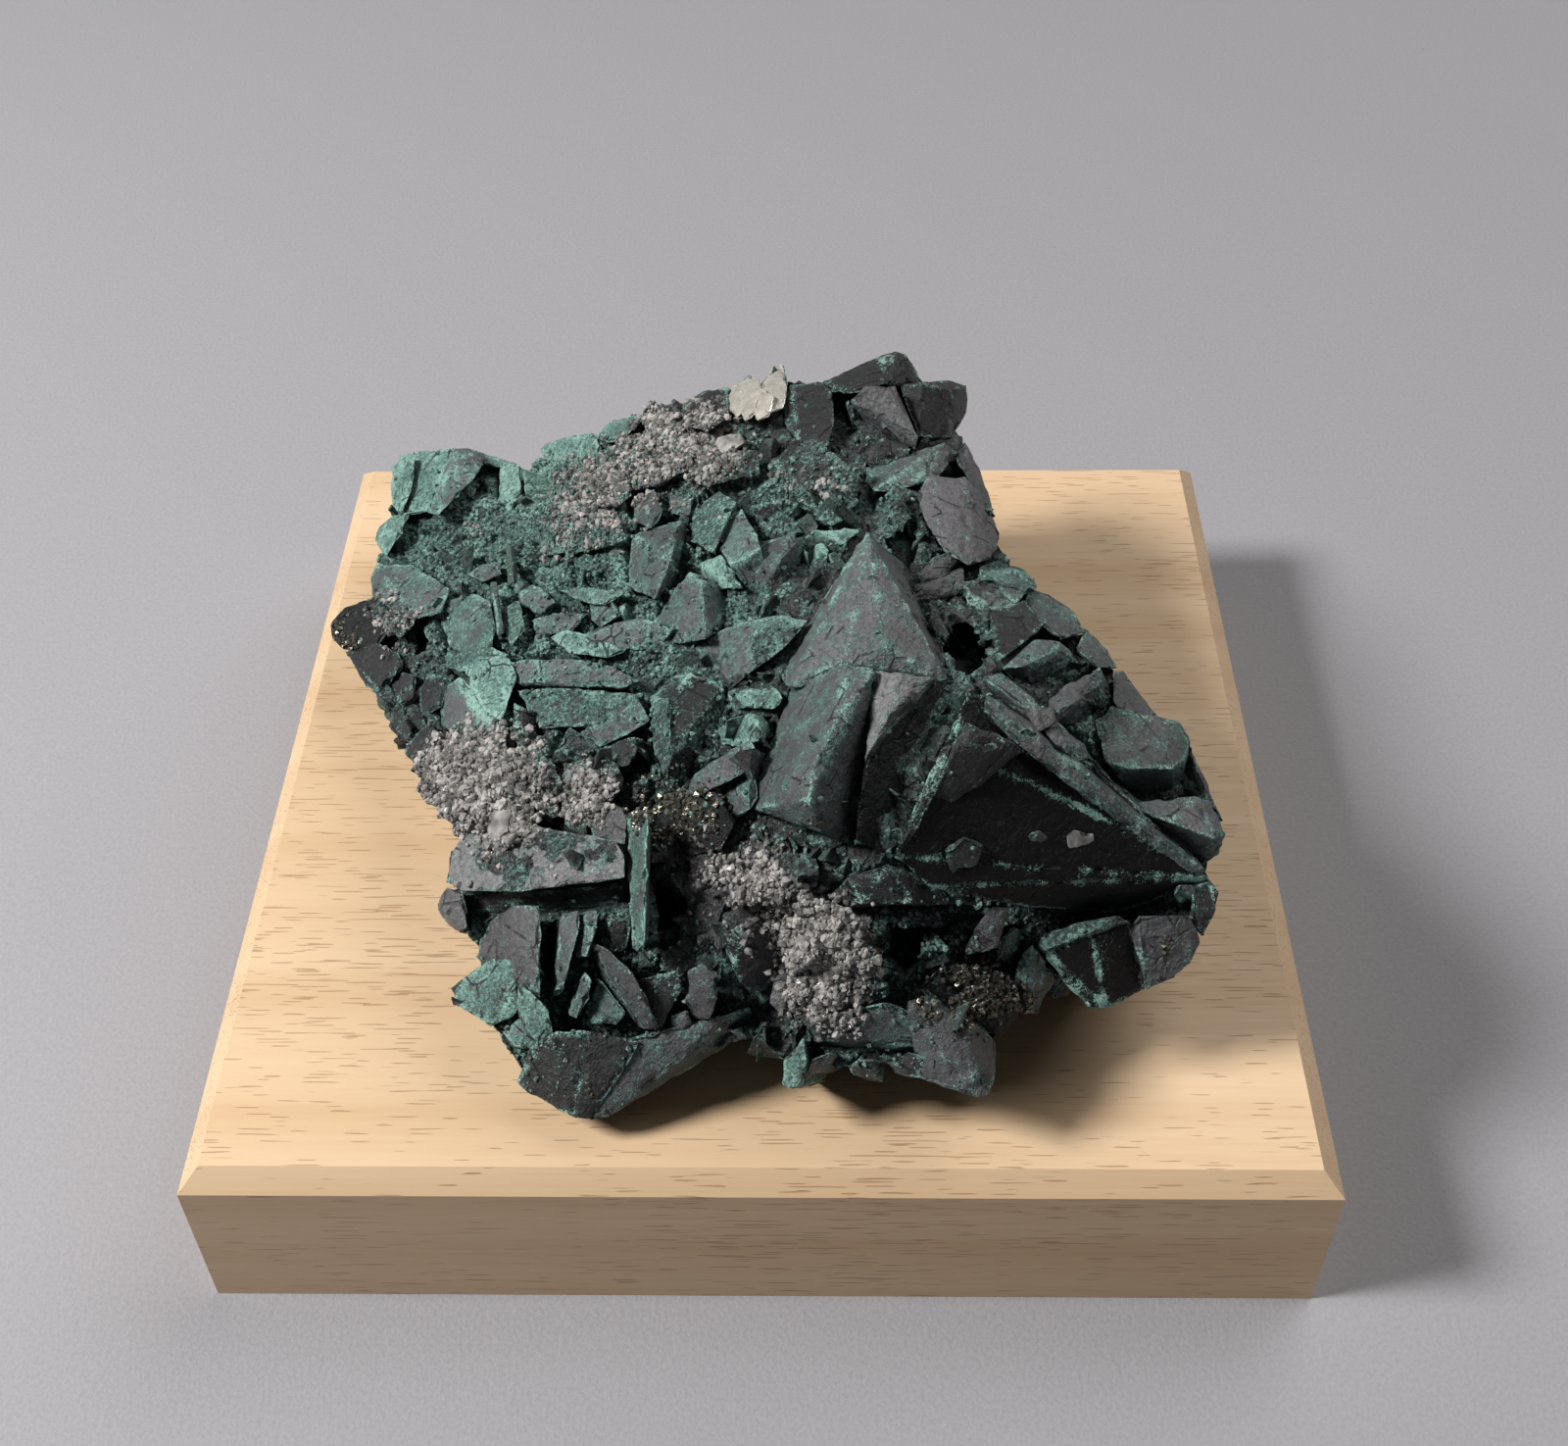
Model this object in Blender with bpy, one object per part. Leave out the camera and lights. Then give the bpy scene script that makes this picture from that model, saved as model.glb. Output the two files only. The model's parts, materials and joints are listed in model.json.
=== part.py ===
"""A cluster of tennantite crystals standing on its square wooden stand.

The stand is a block 100 mm square, and its four top corners in the photograph give the place of the
camera. With that camera each crystal corner is written as it was read by eye: two pixel coordinates and
a real height in millimetres. The two pixels say on which line of sight the corner lies, and the height
says how far along it. The origin is the middle of the stand's underside, X to the right, Y away from the
camera, Z up.
"""
import math
import random

import bmesh
import bpy
import numpy as np
from mathutils import Matrix, Vector, noise
from mathutils.bvhtree import BVHTree

MM = 0.001

# Stand
STAND_SIDE = 100.0
STAND_THICKNESS = 18.5
STAND_CHAMFER = 1.8
RESTING_GAP = 0.3

# Camera of the photograph, fitted to the stand's corners
FOCAL_PIXELS = 2034.0
CENTRE_U = 800.0
CENTRE_V = 737.5
CAMERA_PLACE = Vector((5.0, -141.7, 166.0))
CAMERA_PITCH = math.radians(45.04)
CAMERA_YAW = math.radians(1.34)
CAMERA_ROLL = math.radians(-0.94)

# Host rock: how far it lies below the bed, how rough it is, and where its underside is
ROCK_BELOW_BED = 1.2
ROCK_ROUGHNESS = 0.9
UNDERSIDE_HEIGHT = STAND_THICKNESS + RESTING_GAP
SEED = 57

# The rock starts as a sphere: its upper half is laid on the bed round a pixel, and its lower half becomes
# a wall and, from a share of the way on, an underside round a point of the stand
ROCK_SEGMENTS = 40
ROCK_RINGS = 12
ROCK_CENTRE = (800.0, 740.0)
FOOT_CENTRE = (0.0, 0.0)
RING_CROWDING = 1.3
WALL_SHARE = 0.62
WALL_TUCK = 1.4
WALL_DROP = 0.9
UNDERSIDE_ARCH = 2.2
UNDERSIDE_ROUGHNESS = 3.0
BED_NOISE_PER_PIXEL = 0.021
WALL_NOISE_PER_MM = 0.13
UNDERSIDE_NOISE_PER_MM = 0.11

# How much a crystal narrows, and leans off the line of sight, on its way into the rock
SINK_TAPER = 0.42
SINK_LEAN = 0.45
LEAN_NOISE_PER_MM = 0.9

# Corners of a hull nearer to each other than this are one corner
WELD_DISTANCE = 0.02

# Neighbouring facets that turn by less than this are one facet
FLAT_FACE_ANGLE = math.radians(6)

# Small crystals that fill what the large ones leave free, and blunt ones on the back and underside
SEEN_SMALL_CRYSTALS = 14
HIDDEN_CRYSTALS = 44
SMALL_CRYSTAL_MIN = 1.6
SMALL_CRYSTAL_MAX = 3.4
HIDDEN_CRYSTAL_MIN = 4.0
HIDDEN_CRYSTAL_MAX = 9.5
MOST_TRIES = 9000

# Proportions of a small crystal, as shares of its size, and how many sides it may have
SMALL_FOOT_RADIUS = 0.75
SMALL_FULL_HEIGHT = 1.5
SMALL_SINK = 0.15
SMALL_SIDES = (3, 3, 4)
SEEN_BLUNTNESS = 0.06
HIDDEN_BLUNTNESS = (0.1, 0.5)

# Where small crystals are looked for: a window of pixels on the seen side, and aims from all round for
# the hidden side, whose facing may turn to the camera by no more than a limit
WINDOW_U = (350, 1240)
WINDOW_V = (370, 1140)
SEEN_LEAN = Vector((0, -0.5, 0.8))
SEEN_SPREAD = 0.8
START_PLACE = Vector((0, 0, 34))
START_DISTANCE = 120.0
AIM_X = (-30, 30)
AIM_Y = (-25, 25)
AIM_Z = (22, 42)
FACING_LIMIT = -0.35
HIDDEN_SPREAD = 0.9

# Small crystals keep this far inside the stand's edges, and near its front edge above the lowest rim seen
SIDE_MARGIN = 3.0
FRONT_MARGIN = 8.0
STAND_CLEARANCE = 0.05
FRONT_ZONE = -38.0
LOWEST_SHOWN = 21.0

# Hollows are cut from this far above the bed, to their own depth below it, narrowing on the way
HOLLOW_MOUTH = 6.0
HOLLOW_PAST_BED = 9.0
HOLLOW_TAPER = 0.3

# Lumps of a swollen crust
LUMP_NOISE_PER_MM = 0.42
LUMP_HEIGHT = 1.1

WOOD_COLOUR = (0.70, 0.52, 0.32)
WOOD_ROUGHNESS = 0.55
STONE_COLOUR = (0.10, 0.11, 0.11)
STONE_ROUGHNESS = 0.45
STONE_METALLIC = 0.3

# Bed: height in mm above the table of the specimen's general surface, at pixels u, v
BED = [
    (399, 480, 30), (480, 457, 34), (564, 480, 32), (600, 441, 38), (660, 415, 42), (735, 393, 45),
    (775, 382, 46), (910, 358, 51), (970, 400, 48), (1003, 490, 46), (1022, 550, 45), (1080, 600, 44),
    (1125, 655, 43), (1160, 715, 41), (1215, 755, 39), (1250, 850, 38), (1242, 905, 36), (1225, 960, 33),
    (1170, 1010, 30), (1110, 1030, 28), (1070, 1000, 29), (1050, 1035, 28), (1015, 1060, 28),
    (1005, 1118, 27), (960, 1100, 27), (900, 1100, 26), (805, 1112, 25), (760, 1065, 27), (700, 1090, 24),
    (605, 1143, 21.5), (530, 1105, 22), (500, 1050, 25), (460, 1010, 26), (478, 970, 28), (445, 922, 28),
    (455, 890, 31), (465, 838, 32), (430, 800, 31), (412, 765, 30), (403, 745, 29), (400, 705, 28),
    (372, 700, 25), (338, 635, 27), (375, 590, 29), (387, 550, 30), (885, 560, 50), (980, 700, 51),
    (800, 700, 46), (911, 874, 44), (1139, 933, 34), (650, 700, 40), (640, 560, 42), (740, 550, 46),
    (600, 900, 35), (840, 980, 34), (820, 830, 45), (700, 850, 40), (1080, 760, 48), (1180, 820, 40),
    (480, 600, 34), (540, 700, 37), (500, 800, 34), (660, 1000, 31), (960, 960, 37), (840, 440, 48),
]

# Outline of the host rock in the picture, a little inside the specimen's own outline
ROCK_OUTLINE = [
    (404, 480), (412, 467), (440, 464), (485, 462), (505, 472), (545, 482), (566, 484), (566, 456),
    (604, 446), (618, 434), (655, 424), (664, 415), (692, 416), (722, 402), (745, 398), (758, 392),
    (800, 392), (840, 392), (870, 385), (912, 364), (930, 372), (938, 396), (966, 404), (970, 440),
    (996, 490), (1012, 545), (1032, 588), (1068, 614), (1100, 645), (1134, 690), (1152, 725),
    (1188, 744), (1208, 765), (1226, 810), (1240, 850), (1230, 880), (1234, 910), (1218, 955),
    (1165, 1004), (1114, 1024), (1082, 988), (1064, 1005), (1040, 1030), (1008, 1058), (1004, 1104),
    (985, 1106), (940, 1094), (905, 1090), (880, 1088), (840, 1086), (806, 1100), (795, 1055),
    (765, 1050), (700, 1078), (640, 1112), (603, 1134), (572, 1126), (537, 1104), (547, 1068),
    (522, 1050), (500, 1040), (470, 1022), (482, 985), (492, 950), (472, 926), (461, 905), (463, 875),
    (480, 845), (466, 830), (439, 800), (421, 765), (411, 742), (410, 706), (386, 698), (369, 680),
    (351, 655), (349, 630), (385, 610), (385, 580), (395, 556), (399, 530), (417, 520), (409, 500),
]

# Footprint of the host rock on the stand, in mm, X and Y
FOOTPRINT = [
    (-41, 22), (-38, 34), (-24, 39), (-4, 40), (14, 38), (25, 27), (31, 12), (36, -6), (36, -20),
    (29, -28), (20, -29), (10, -30), (-4, -30), (-14, -37), (-22, -30), (-25, -18), (-32, -4), (-38, 8),
]

# Hollows: name, depth in mm, corners u, v, rise above the bed in mm
HOLLOWS = [
    ("deep_hollow", 8.0, [(945, 640), (985, 625), (1015, 650), (1018, 680), (985, 702), (955, 670)]),
    ("apex_hollow", 6.0, [(895, 552), (935, 505), (945, 560), (930, 592), (912, 580)]),
    ("left_hollow", 7.0, [(418, 640), (442, 630), (452, 660), (440, 682), (420, 676)]),
    ("corner_hollow", 6.0, [(455, 530), (485, 492), (505, 472), (512, 492), (495, 522), (470, 536)]),
    ("slot_hollow", 6.0, [(553, 930), (571, 930), (566, 1005), (553, 1015)]),
    ("long_hollow", 7.0, [(662, 870), (705, 905), (700, 950), (678, 985), (664, 970)]),
    ("lens_hollow", 5.0, [(896, 930), (985, 935), (960, 975), (918, 1000), (895, 980)]),
    ("upper_hole", 5.0, [(760, 665), (790, 662), (782, 698), (760, 698)]),
    ("lower_hole", 5.0, [(775, 728), (793, 728), (790, 758), (780, 762)]),
    ("back_hollow", 5.0, [(850, 405), (870, 410), (882, 440), (866, 458), (855, 440)]),
    ("mid_hollow", 4.0, [(520, 570), (600, 560), (640, 555), (600, 590), (530, 592)]),
]

# Crystals: name, depth in mm behind what is seen, corners u, v, rise above the bed in mm
CRYSTALS = [
    # Centre
    ("great_tetrahedron", 9.0, [(885, 541, 5), (822, 640, -0.5), (797, 692, -0.5), (803, 702, 1.5),
        (836, 690, 1.2), (862, 674, 2), (905, 660, 2), (968, 694, -1), (955, 625, -6), (940, 590, -6)]),
    ("centre_wedge", 8.0, [(893, 682, 3.5), (862, 674, 3), (806, 704, 0), (770, 800, -0.5), (769, 826, 0),
        (826, 816, 4.5), (828, 786, 4.8), (852, 738, 4.6), (838, 850, 1.5), (872, 862, -3),
        (884, 775, -4)]),
    ("centre_block", 8.0, [(893, 684, 2.2), (916, 684, 3), (882, 784, 1), (958, 690, 0), (980, 710, -3.2),
        (965, 784, -4.5), (945, 822, -4), (911, 872, -2.7), (872, 862, 0)]),
    ("block_lit_facet", 6.0, [(893, 684, 2.6), (918, 686, 3.2), (958, 690, 1.4), (930, 704, 2.2),
        (905, 735, 2.2), (881, 778, 1.6)]),
    ("great_triangle", 9.0, [(984, 710, 4.2), (974, 762, 3.8), (950, 812, 3.2), (911, 874, 3),
        (1010, 706, 3.6), (1065, 735, 2), (1149, 820, 1.6), (1228, 884, 1.2), (1235, 897, 0.6),
        (1139, 933, 0.3), (1040, 925, 2), (948, 905, 2.4)]),
    ("ridge_strip", 6.0, [(1008, 706, 3.9), (1040, 735, 3.2), (1062, 752, 2.9), (1118, 800, 2.4),
        (1160, 838, 2), (1200, 868, 1.7), (1232, 890, 1.2), (1222, 898, 0.9), (1185, 876, 1.4),
        (1140, 840, 1.9), (1100, 808, 2.3), (1060, 778, 2.7), (1030, 752, 3.2), (1000, 722, 3.8)]),
    ("triangle_cap", 6.0, [(978, 760, 4.8), (985, 736, 5), (1038, 757, 4.6), (1047, 767, 3.8),
        (1020, 783, 3.4), (985, 813, 3), (950, 828, 2.6), (953, 803, 3.6)]),
    ("pale_pair", 6.0, [(1087, 852, 3), (1096, 846, 3.2), (1116, 850, 3), (1118, 864, 2.8),
        (1104, 870, 2.8), (1090, 866, 2.8)]),
    ("pale_pair_right", 3.0, [(1122, 872, 2.4), (1138, 868, 2.6), (1150, 880, 2.2), (1146, 896, 2),
        (1128, 892, 2.1)]),
    # Right of the centre
    ("upper_slab", 7.0, [(1000, 690, 0.5), (1022, 684, 1.6), (1045, 705, 1.8), (1068, 738, 1.6),
        (1112, 766, 1.6), (1146, 810, 1.2), (1150, 822, -0.5), (1060, 748, -2)]),
    ("slab_facet", 9.0, [(1062, 742, 2.4), (1085, 744, 2.6), (1108, 760, 2.4), (1112, 775, 2.2),
        (1098, 778, 2), (1080, 762, 2.2)]),
    ("upper_wedge", 6.0, [(1022, 682, 1.5), (1056, 652, 2.6), (1082, 652, 3), (1102, 676, 1),
        (1078, 697, -2.5), (1058, 708, -3), (1042, 700, -2.5), (1044, 680, 2.5), (1078, 662, 3.2)]),
    ("lilac_wedge", 6.0, [(1068, 716, 1.5), (1080, 702, 2.2), (1122, 680, 2.4), (1128, 694, 2.6),
        (1095, 718, 3), (1068, 739, 1.6), (1136, 708, -2), (1118, 738, -3), (1082, 743, -2)]),
    ("right_block", 7.0, [(1118, 735, 0), (1132, 719, 1), (1156, 742, 2.2), (1188, 735, 2.6),
        (1202, 736, 2.2), (1215, 760, 2), (1208, 776, 2.8), (1196, 784, 3.4), (1152, 784, 2.8),
        (1138, 790, 1.5), (1126, 776, 1), (1206, 800, -2), (1198, 813, -3), (1160, 820, -3),
        (1148, 802, -1.5)]),
    ("right_wedge", 7.0, [(1149, 822, 1.2), (1170, 817, 1.6), (1222, 811, 2.4), (1234, 816, 1.5),
        (1248, 838, 0.8), (1251, 851, 1.2), (1240, 856, 2.6), (1192, 839, 2.8), (1244, 872, -2),
        (1226, 879, -3), (1203, 871, -3), (1180, 850, -2)]),
    ("outer_shard", 9.0, [(1216, 762, 0.8), (1222, 785, 1), (1236, 815, 0.8), (1249, 840, 0),
        (1210, 790, -1), (1212, 812, -1), (1205, 745, 0)]),
    ("rim_shard_a", 10.0, [(1050, 600, 0.5), (1076, 612, 0.5), (1096, 625, 0.4), (1108, 645, 0.8),
        (1085, 652, 1.5), (1060, 636, 1.5), (1046, 616, 1)]),
    ("rim_shard_b", 11.0, [(1108, 641, 0.4), (1126, 655, 0.3), (1142, 682, 0.3), (1120, 681, 1.2),
        (1098, 662, 1.2)]),
    ("rim_shard_c", 9.0, [(1136, 684, 0.6), (1146, 684, 0.3), (1160, 716, 0.3), (1185, 735, 0.3),
        (1155, 738, 1.5), (1136, 716, 1.5)]),
    ("grey_plate", 6.0, [(982, 594, 1), (1000, 588, 1.8), (1036, 591, 2), (1046, 606, 1.8),
        (1038, 616, 1.5), (1018, 624, 0.2), (990, 626, -1.5), (984, 610, 0)]),
    ("plate_ledge", 5.0, [(998, 578, 1), (1040, 584, 0.5), (1060, 600, 0.4), (1045, 606, 1.5),
        (1000, 592, 2)]),
    ("below_plate", 6.0, [(1010, 622, 0.5), (1045, 612, 1.5), (1070, 636, 1.5), (1040, 650, -1),
        (1018, 676, 0), (1012, 650, -2)]),
    ("lilac_splinter_a", 4.0, [(934, 586, 0.5), (952, 568, 1.4), (976, 560, 1.6), (980, 574, 1),
        (962, 591, 0.4), (940, 597, -0.5)]),
    ("lilac_splinter_b", 4.0, [(930, 602, 0), (965, 590, 0.8), (984, 580, 1), (985, 600, 0.2),
        (955, 616, -1.5), (932, 616, -1)]),
    ("cracked_flat", 7.0, [(935, 498, 0.5), (950, 484, 1.5), (985, 486, 2), (1004, 505, 1),
        (1014, 530, 0.8), (1022, 550, 0.5), (1012, 570, 1), (988, 577, 1.6), (962, 560, 1.5),
        (942, 530, 0.5)]),
    ("cracked_edge", 10.0, [(985, 450, 0), (1000, 480, 0), (1012, 510, 0), (1016, 530, 0),
        (1003, 520, 1.2), (985, 482, 1.5), (975, 462, 1)]),
    # Back right
    ("peak_crystal", 12.0, [(838, 390, 0), (870, 380, 0.5), (900, 362, 0.8), (914, 357, 0.6),
        (926, 362, 0.3), (936, 380, 0), (939, 392, 0), (918, 392, 1), (900, 392, 2), (866, 402, 1.5),
        (846, 400, 0)]),
    ("three_sided_face", 6.0, [(866, 408, 1.5), (880, 394, 2), (914, 393, 2.4), (938, 446, 1.5),
        (934, 460, 0), (905, 440, -1.5), (880, 428, -1)]),
    ("back_dark_block", 8.0, [(916, 392, 0.5), (940, 390, 1.6), (972, 398, 0.4), (970, 425, -0.5),
        (972, 446, -1), (948, 453, -1), (938, 446, 0.5)]),
    ("back_ledge", 6.0, [(885, 478, 0), (930, 470, 1), (965, 450, 1.4), (978, 462, 1), (958, 486, 0.8),
        (932, 496, 1), (892, 502, 1), (882, 492, 0)]),
    ("back_small_block", 5.0, [(876, 466, 0.5), (895, 452, 1.5), (930, 458, 1.2), (925, 468, 0.5),
        (892, 478, 0)]),
    ("back_lump", 6.0, [(806, 392, 0.2), (840, 388, 0.4), (850, 402, 0.6), (852, 430, 1), (845, 455, 0.5),
        (815, 455, 0.5), (800, 430, 0), (800, 405, 0)]),
    # Middle
    ("grey_cube", 6.0, [(738, 525, 0), (757, 519, 1.2), (773, 545, 2.6), (776, 560, 2.8), (760, 570, 2.8),
        (744, 576, 2), (735, 560, 0.8), (766, 586, -1.5), (790, 622, -2.5), (768, 620, -2.5)]),
    ("square_face", 6.0, [(762, 516, 1), (800, 508, 1.6), (816, 513, 1), (818, 538, -3), (786, 550, -3),
        (774, 540, -1.5)]),
    ("split_cube", 6.0, [(778, 552, 0.5), (804, 543, 1.2), (814, 552, 1.6), (796, 570, 2.4),
        (778, 578, 2), (768, 585, 1), (780, 602, 0.5), (800, 616, -1.8), (822, 596, -3), (832, 565, -3)]),
    ("grey_facet_a", 10.0, [(646, 508, 1), (668, 500, 1.8), (677, 520, 2), (664, 540, 1.6),
        (648, 532, 1)]),
    ("grey_facet_b", 10.0, [(680, 503, 1), (706, 508, 1.6), (704, 526, 1.6), (684, 524, 1.2)]),
    ("green_slope", 9.0, [(706, 520, 0.9), (735, 500, 1.8), (752, 512, 1.6), (738, 540, 1.8),
        (728, 566, 1.4), (704, 552, 0.8)]),
    ("thin_blade_mid", 5.0, [(832, 556, 1), (840, 553, 1.2), (846, 560, 1), (840, 590, -1),
        (828, 602, -1.5), (826, 585, -1)]),
    ("tail_face", 5.0, [(830, 540, 1), (882, 538, 1.8), (862, 556, 0), (838, 560, -1.5), (818, 552, -1)]),
    ("small_tetra_left", 7.0, [(645, 545, 0.5), (690, 540, 2.4), (697, 529, 2), (684, 572, 3),
        (668, 612, 2.4), (640, 600, 0), (706, 548, -2.5), (700, 586, -3), (676, 608, -2.5)]),
    ("small_tetra_mid", 7.0, [(703, 582, 2), (716, 592, 2.8), (720, 652, 2.4), (690, 658, 0.5),
        (664, 640, 0), (680, 610, 0.8), (742, 596, -1), (752, 606, -2), (750, 632, -3),
        (736, 644, -2.5)]),
    ("green_spur", 5.0, [(708, 575, 0.5), (735, 564, 1.6), (746, 590, 1.6), (760, 601, 1),
        (728, 602, 0)]),
    ("under_mid_plate", 6.0, [(720, 650, 0.5), (745, 638, 1.2), (790, 625, 1.5), (826, 632, 1.4),
        (800, 660, 1), (760, 662, 0.5), (748, 700, 0), (722, 690, -0.5), (700, 668, -0.5)]),
    ("brown_crystal", 7.0, [(690, 688, 1), (705, 686, 1.5), (738, 700, 0), (740, 718, -1), (728, 746, -2),
        (712, 786, -2), (700, 798, -1), (676, 790, 2), (668, 740, 2), (665, 712, 1), (682, 715, 2.8),
        (684, 770, 2.8)]),
    ("brown_rim", 6.0, [(664, 712, 1.6), (682, 712, 3.2), (685, 772, 3.2), (678, 796, 2.4), (668, 770, 2),
        (664, 740, 2)]),
    ("green_wedge_mid", 6.0, [(731, 745, 0), (745, 732, 0.8), (770, 726, 1.8), (776, 742, 2.2),
        (774, 757, 2), (750, 762, 0.5), (736, 760, 0), (790, 735, -2), (788, 752, -2)]),
    ("strip_crystal", 6.0, [(691, 810, -0.5), (702, 793, 0.5), (745, 764, 1.6), (766, 755, 2),
        (773, 766, 2), (766, 786, 1.2), (745, 797, 1), (712, 812, 0)]),
    ("strip_crystal_low", 5.0, [(740, 805, -1), (770, 786, 0.5), (770, 812, 1), (766, 826, 0.5),
        (748, 838, -1)]),
    ("mid_bar", 5.0, [(764, 700, 0), (792, 700, 1), (800, 712, 1), (790, 724, 0.5), (748, 722, -1),
        (740, 705, -0.5)]),
    # Middle left, lens shaped crystals
    ("lens_a", 7.0, [(474, 586, 0.5), (494, 574, 1.6), (510, 576, 1.6), (513, 586, 1), (492, 594, 1)]),
    ("lens_b", 7.0, [(570, 602, 0.8), (600, 599, 1.8), (640, 604, 1.6), (615, 618, 1.8),
        (592, 614, 1.2)]),
    ("lens_c", 5.0, [(582, 656, 0.5), (626, 636, 2), (658, 632, 2.2), (692, 640, 1.6), (680, 657, 0.8),
        (640, 664, 1), (606, 662, 0.8)]),
    ("lens_d", 6.0, [(560, 650, 0.6), (580, 640, 1.4), (600, 650, 1.4), (640, 664, 1.6), (620, 672, 1.2),
        (580, 666, 0.8)]),
    ("long_lens", 9.0, [(495, 690, 0.9), (530, 672, 1.9), (580, 670, 2.4), (620, 677, 2.5), (655, 694, 2),
        (640, 702, 1.5), (600, 701, 1.3), (545, 696, 1.2), (510, 700, 0.8)]),
    ("granular_wall", 6.0, [(527, 704, 1), (570, 702, 1.6), (620, 706, 1.6), (652, 708, 1.4),
        (650, 738, 0.6), (600, 742, 0.4), (550, 742, 0.4)]),
    ("lens_e", 7.0, [(530, 602, 0.5), (556, 601, 1.4), (568, 614, 1), (552, 628, 0), (534, 620, 0.2)]),
    ("lens_f", 8.0, [(540, 632, 0.3), (575, 622, 1.4), (600, 625, 1.2), (580, 645, 0.5), (548, 648, 0)]),
    ("lens_g", 7.0, [(602, 612, 0.5), (622, 606, 1.6), (634, 628, 1.2), (612, 640, 0.5),
        (600, 630, 0.5)]),
    ("left_big_face", 6.0, [(455, 612, 1.2), (480, 604, 1.8), (500, 612, 2), (506, 640, 1.8),
        (500, 664, 1.4), (478, 672, 1), (458, 660, 0.6), (450, 636, 0.5)]),
    ("green_leaf_left", 6.0, [(452, 668, 0.8), (478, 664, 1.6), (505, 660, 2), (520, 668, 1.6),
        (500, 682, 1.2), (470, 686, 1), (454, 682, 0.6)]),
    ("green_leaf_upper", 6.0, [(514, 618, 1), (530, 612, 1.8), (536, 640, 1.6), (522, 660, 1.2),
        (512, 644, 1)]),
    ("lilac_plate_left", 6.0, [(450, 722, 0.5), (454, 700, 1), (470, 688, 1.8), (486, 720, 2),
        (517, 741, 2.2), (516, 772, 1.2), (496, 757, 1), (468, 752, 0.6), (452, 741, 0.4)]),
    ("ring_plate", 7.0, [(474, 686, 1.6), (487, 668, 2), (520, 668, 2), (528, 690, 1.6), (508, 708, 2.2),
        (512, 736, 2.4), (494, 728, 2.4), (482, 704, 2.2)]),
    ("dark_plate_left", 5.0, [(524, 716, 1.8), (536, 722, 1.8), (552, 728, 0), (550, 762, -1),
        (530, 768, 0.5), (521, 745, 1.8)]),
    ("three_corner", 5.0, [(581, 741, 3), (559, 780, 1.5), (566, 787, 0), (600, 776, -1),
        (623, 766, -0.5), (602, 755, 1.2)]),
    ("small_block_left", 5.0, [(616, 762, 1), (632, 754, 2), (648, 750, 2.4), (650, 766, 2.4),
        (641, 781, 2), (624, 784, 1), (662, 760, -1.5), (658, 776, -1.5)]),
    ("green_back_mid", 6.0, [(590, 748, 0.8), (625, 730, 1.6), (652, 714, 1.8), (664, 735, 1.6),
        (640, 750, 1.2), (612, 762, 0.8)]),
    ("facet_by_strip", 6.0, [(600, 842, 1.2), (622, 820, 2), (641, 826, 2.2), (638, 862, 1.6),
        (606, 858, 1)]),
    # Left lobe and upper left lobe
    ("left_tip", 10.0, [(338, 635, 0), (352, 619, 0.4), (372, 612, 0.6), (392, 612, 1), (400, 640, 2),
        (372, 668, 1), (352, 664, 0), (340, 652, 0)]),
    ("left_tip_low", 6.0, [(352, 665, 0.5), (385, 655, 2), (405, 665, 2), (412, 680, 1.5),
        (400, 692, 0.6), (386, 706, 0.5), (372, 700, 0.2), (364, 684, 0.2)]),
    ("left_roof", 9.0, [(378, 590, 0), (384, 575, 0.3), (420, 575, 1), (460, 600, 1.5), (450, 625, 2.5),
        (420, 632, 3), (400, 615, 2), (380, 612, 0.5)]),
    ("left_small_a", 5.0, [(400, 700, 0), (410, 686, 1), (424, 688, 1.5), (422, 712, 1),
        (408, 720, 0.2)]),
    ("left_small_b", 9.0, [(403, 745, 0.2), (414, 734, 0.8), (421, 748, 0.8), (414, 754, 0.3)]),
    ("left_small_c", 6.0, [(411, 767, 0.2), (418, 752, 0.8), (440, 735, 1.5), (452, 755, 1.6),
        (438, 775, 1), (425, 784, 0.2)]),
    ("left_small_d", 5.0, [(426, 705, 0.4), (438, 686, 1), (460, 690, 1.6), (450, 722, 1),
        (430, 732, 0.5)]),
    ("corner_leaf", 11.0, [(386, 555, 0), (388, 541, 0.3), (400, 525, 0.8), (418, 522, 1.5),
        (408, 545, 1.6), (394, 568, 0.3)]),
    ("corner_face_a", 7.0, [(399, 479, 0), (408, 463, 0.3), (440, 458, 1.2), (462, 458, 1.2),
        (452, 490, 2.2), (436, 522, 1.6), (414, 524, 1), (405, 506, 0.2)]),
    ("corner_face_b", 10.0, [(462, 457, 1.4), (484, 457, 1.2), (496, 468, 1), (486, 486, 2.4),
        (470, 502, 2.8), (446, 527, 2.6), (436, 523, 2.4), (452, 490, 3.2), (460, 470, 3)]),
    ("corner_face_c", 9.0, [(402, 500, 0.8), (416, 470, 2), (424, 466, 2.2), (420, 500, 2.2),
        (408, 528, 1.2), (400, 516, 0.6)]),
    ("corner_rim", 11.0, [(484, 458, 0), (500, 467, -0.5), (530, 474, -0.5), (515, 480, -0.5),
        (495, 474, 0)]),
    ("corner_right_a", 6.0, [(510, 474, 0), (530, 475, 0.8), (532, 500, 1.5), (520, 524, 1),
        (508, 516, 0)]),
    ("corner_right_b", 6.0, [(532, 477, 0.4), (556, 484, -0.3), (568, 496, -1), (560, 512, -1.5),
        (538, 520, 0), (535, 498, 1.4)]),
    # Back left
    ("back_green_a", 10.0, [(564, 451, 0.2), (580, 445, 0.5), (604, 441, 0.3), (613, 455, 0.6),
        (608, 472, 0.8), (585, 474, 1), (562, 474, 0.2), (558, 462, 0)]),
    ("back_green_b", 8.0, [(612, 440, 0), (624, 428, 0.3), (652, 421, 0.3), (658, 425, 0.5),
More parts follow.
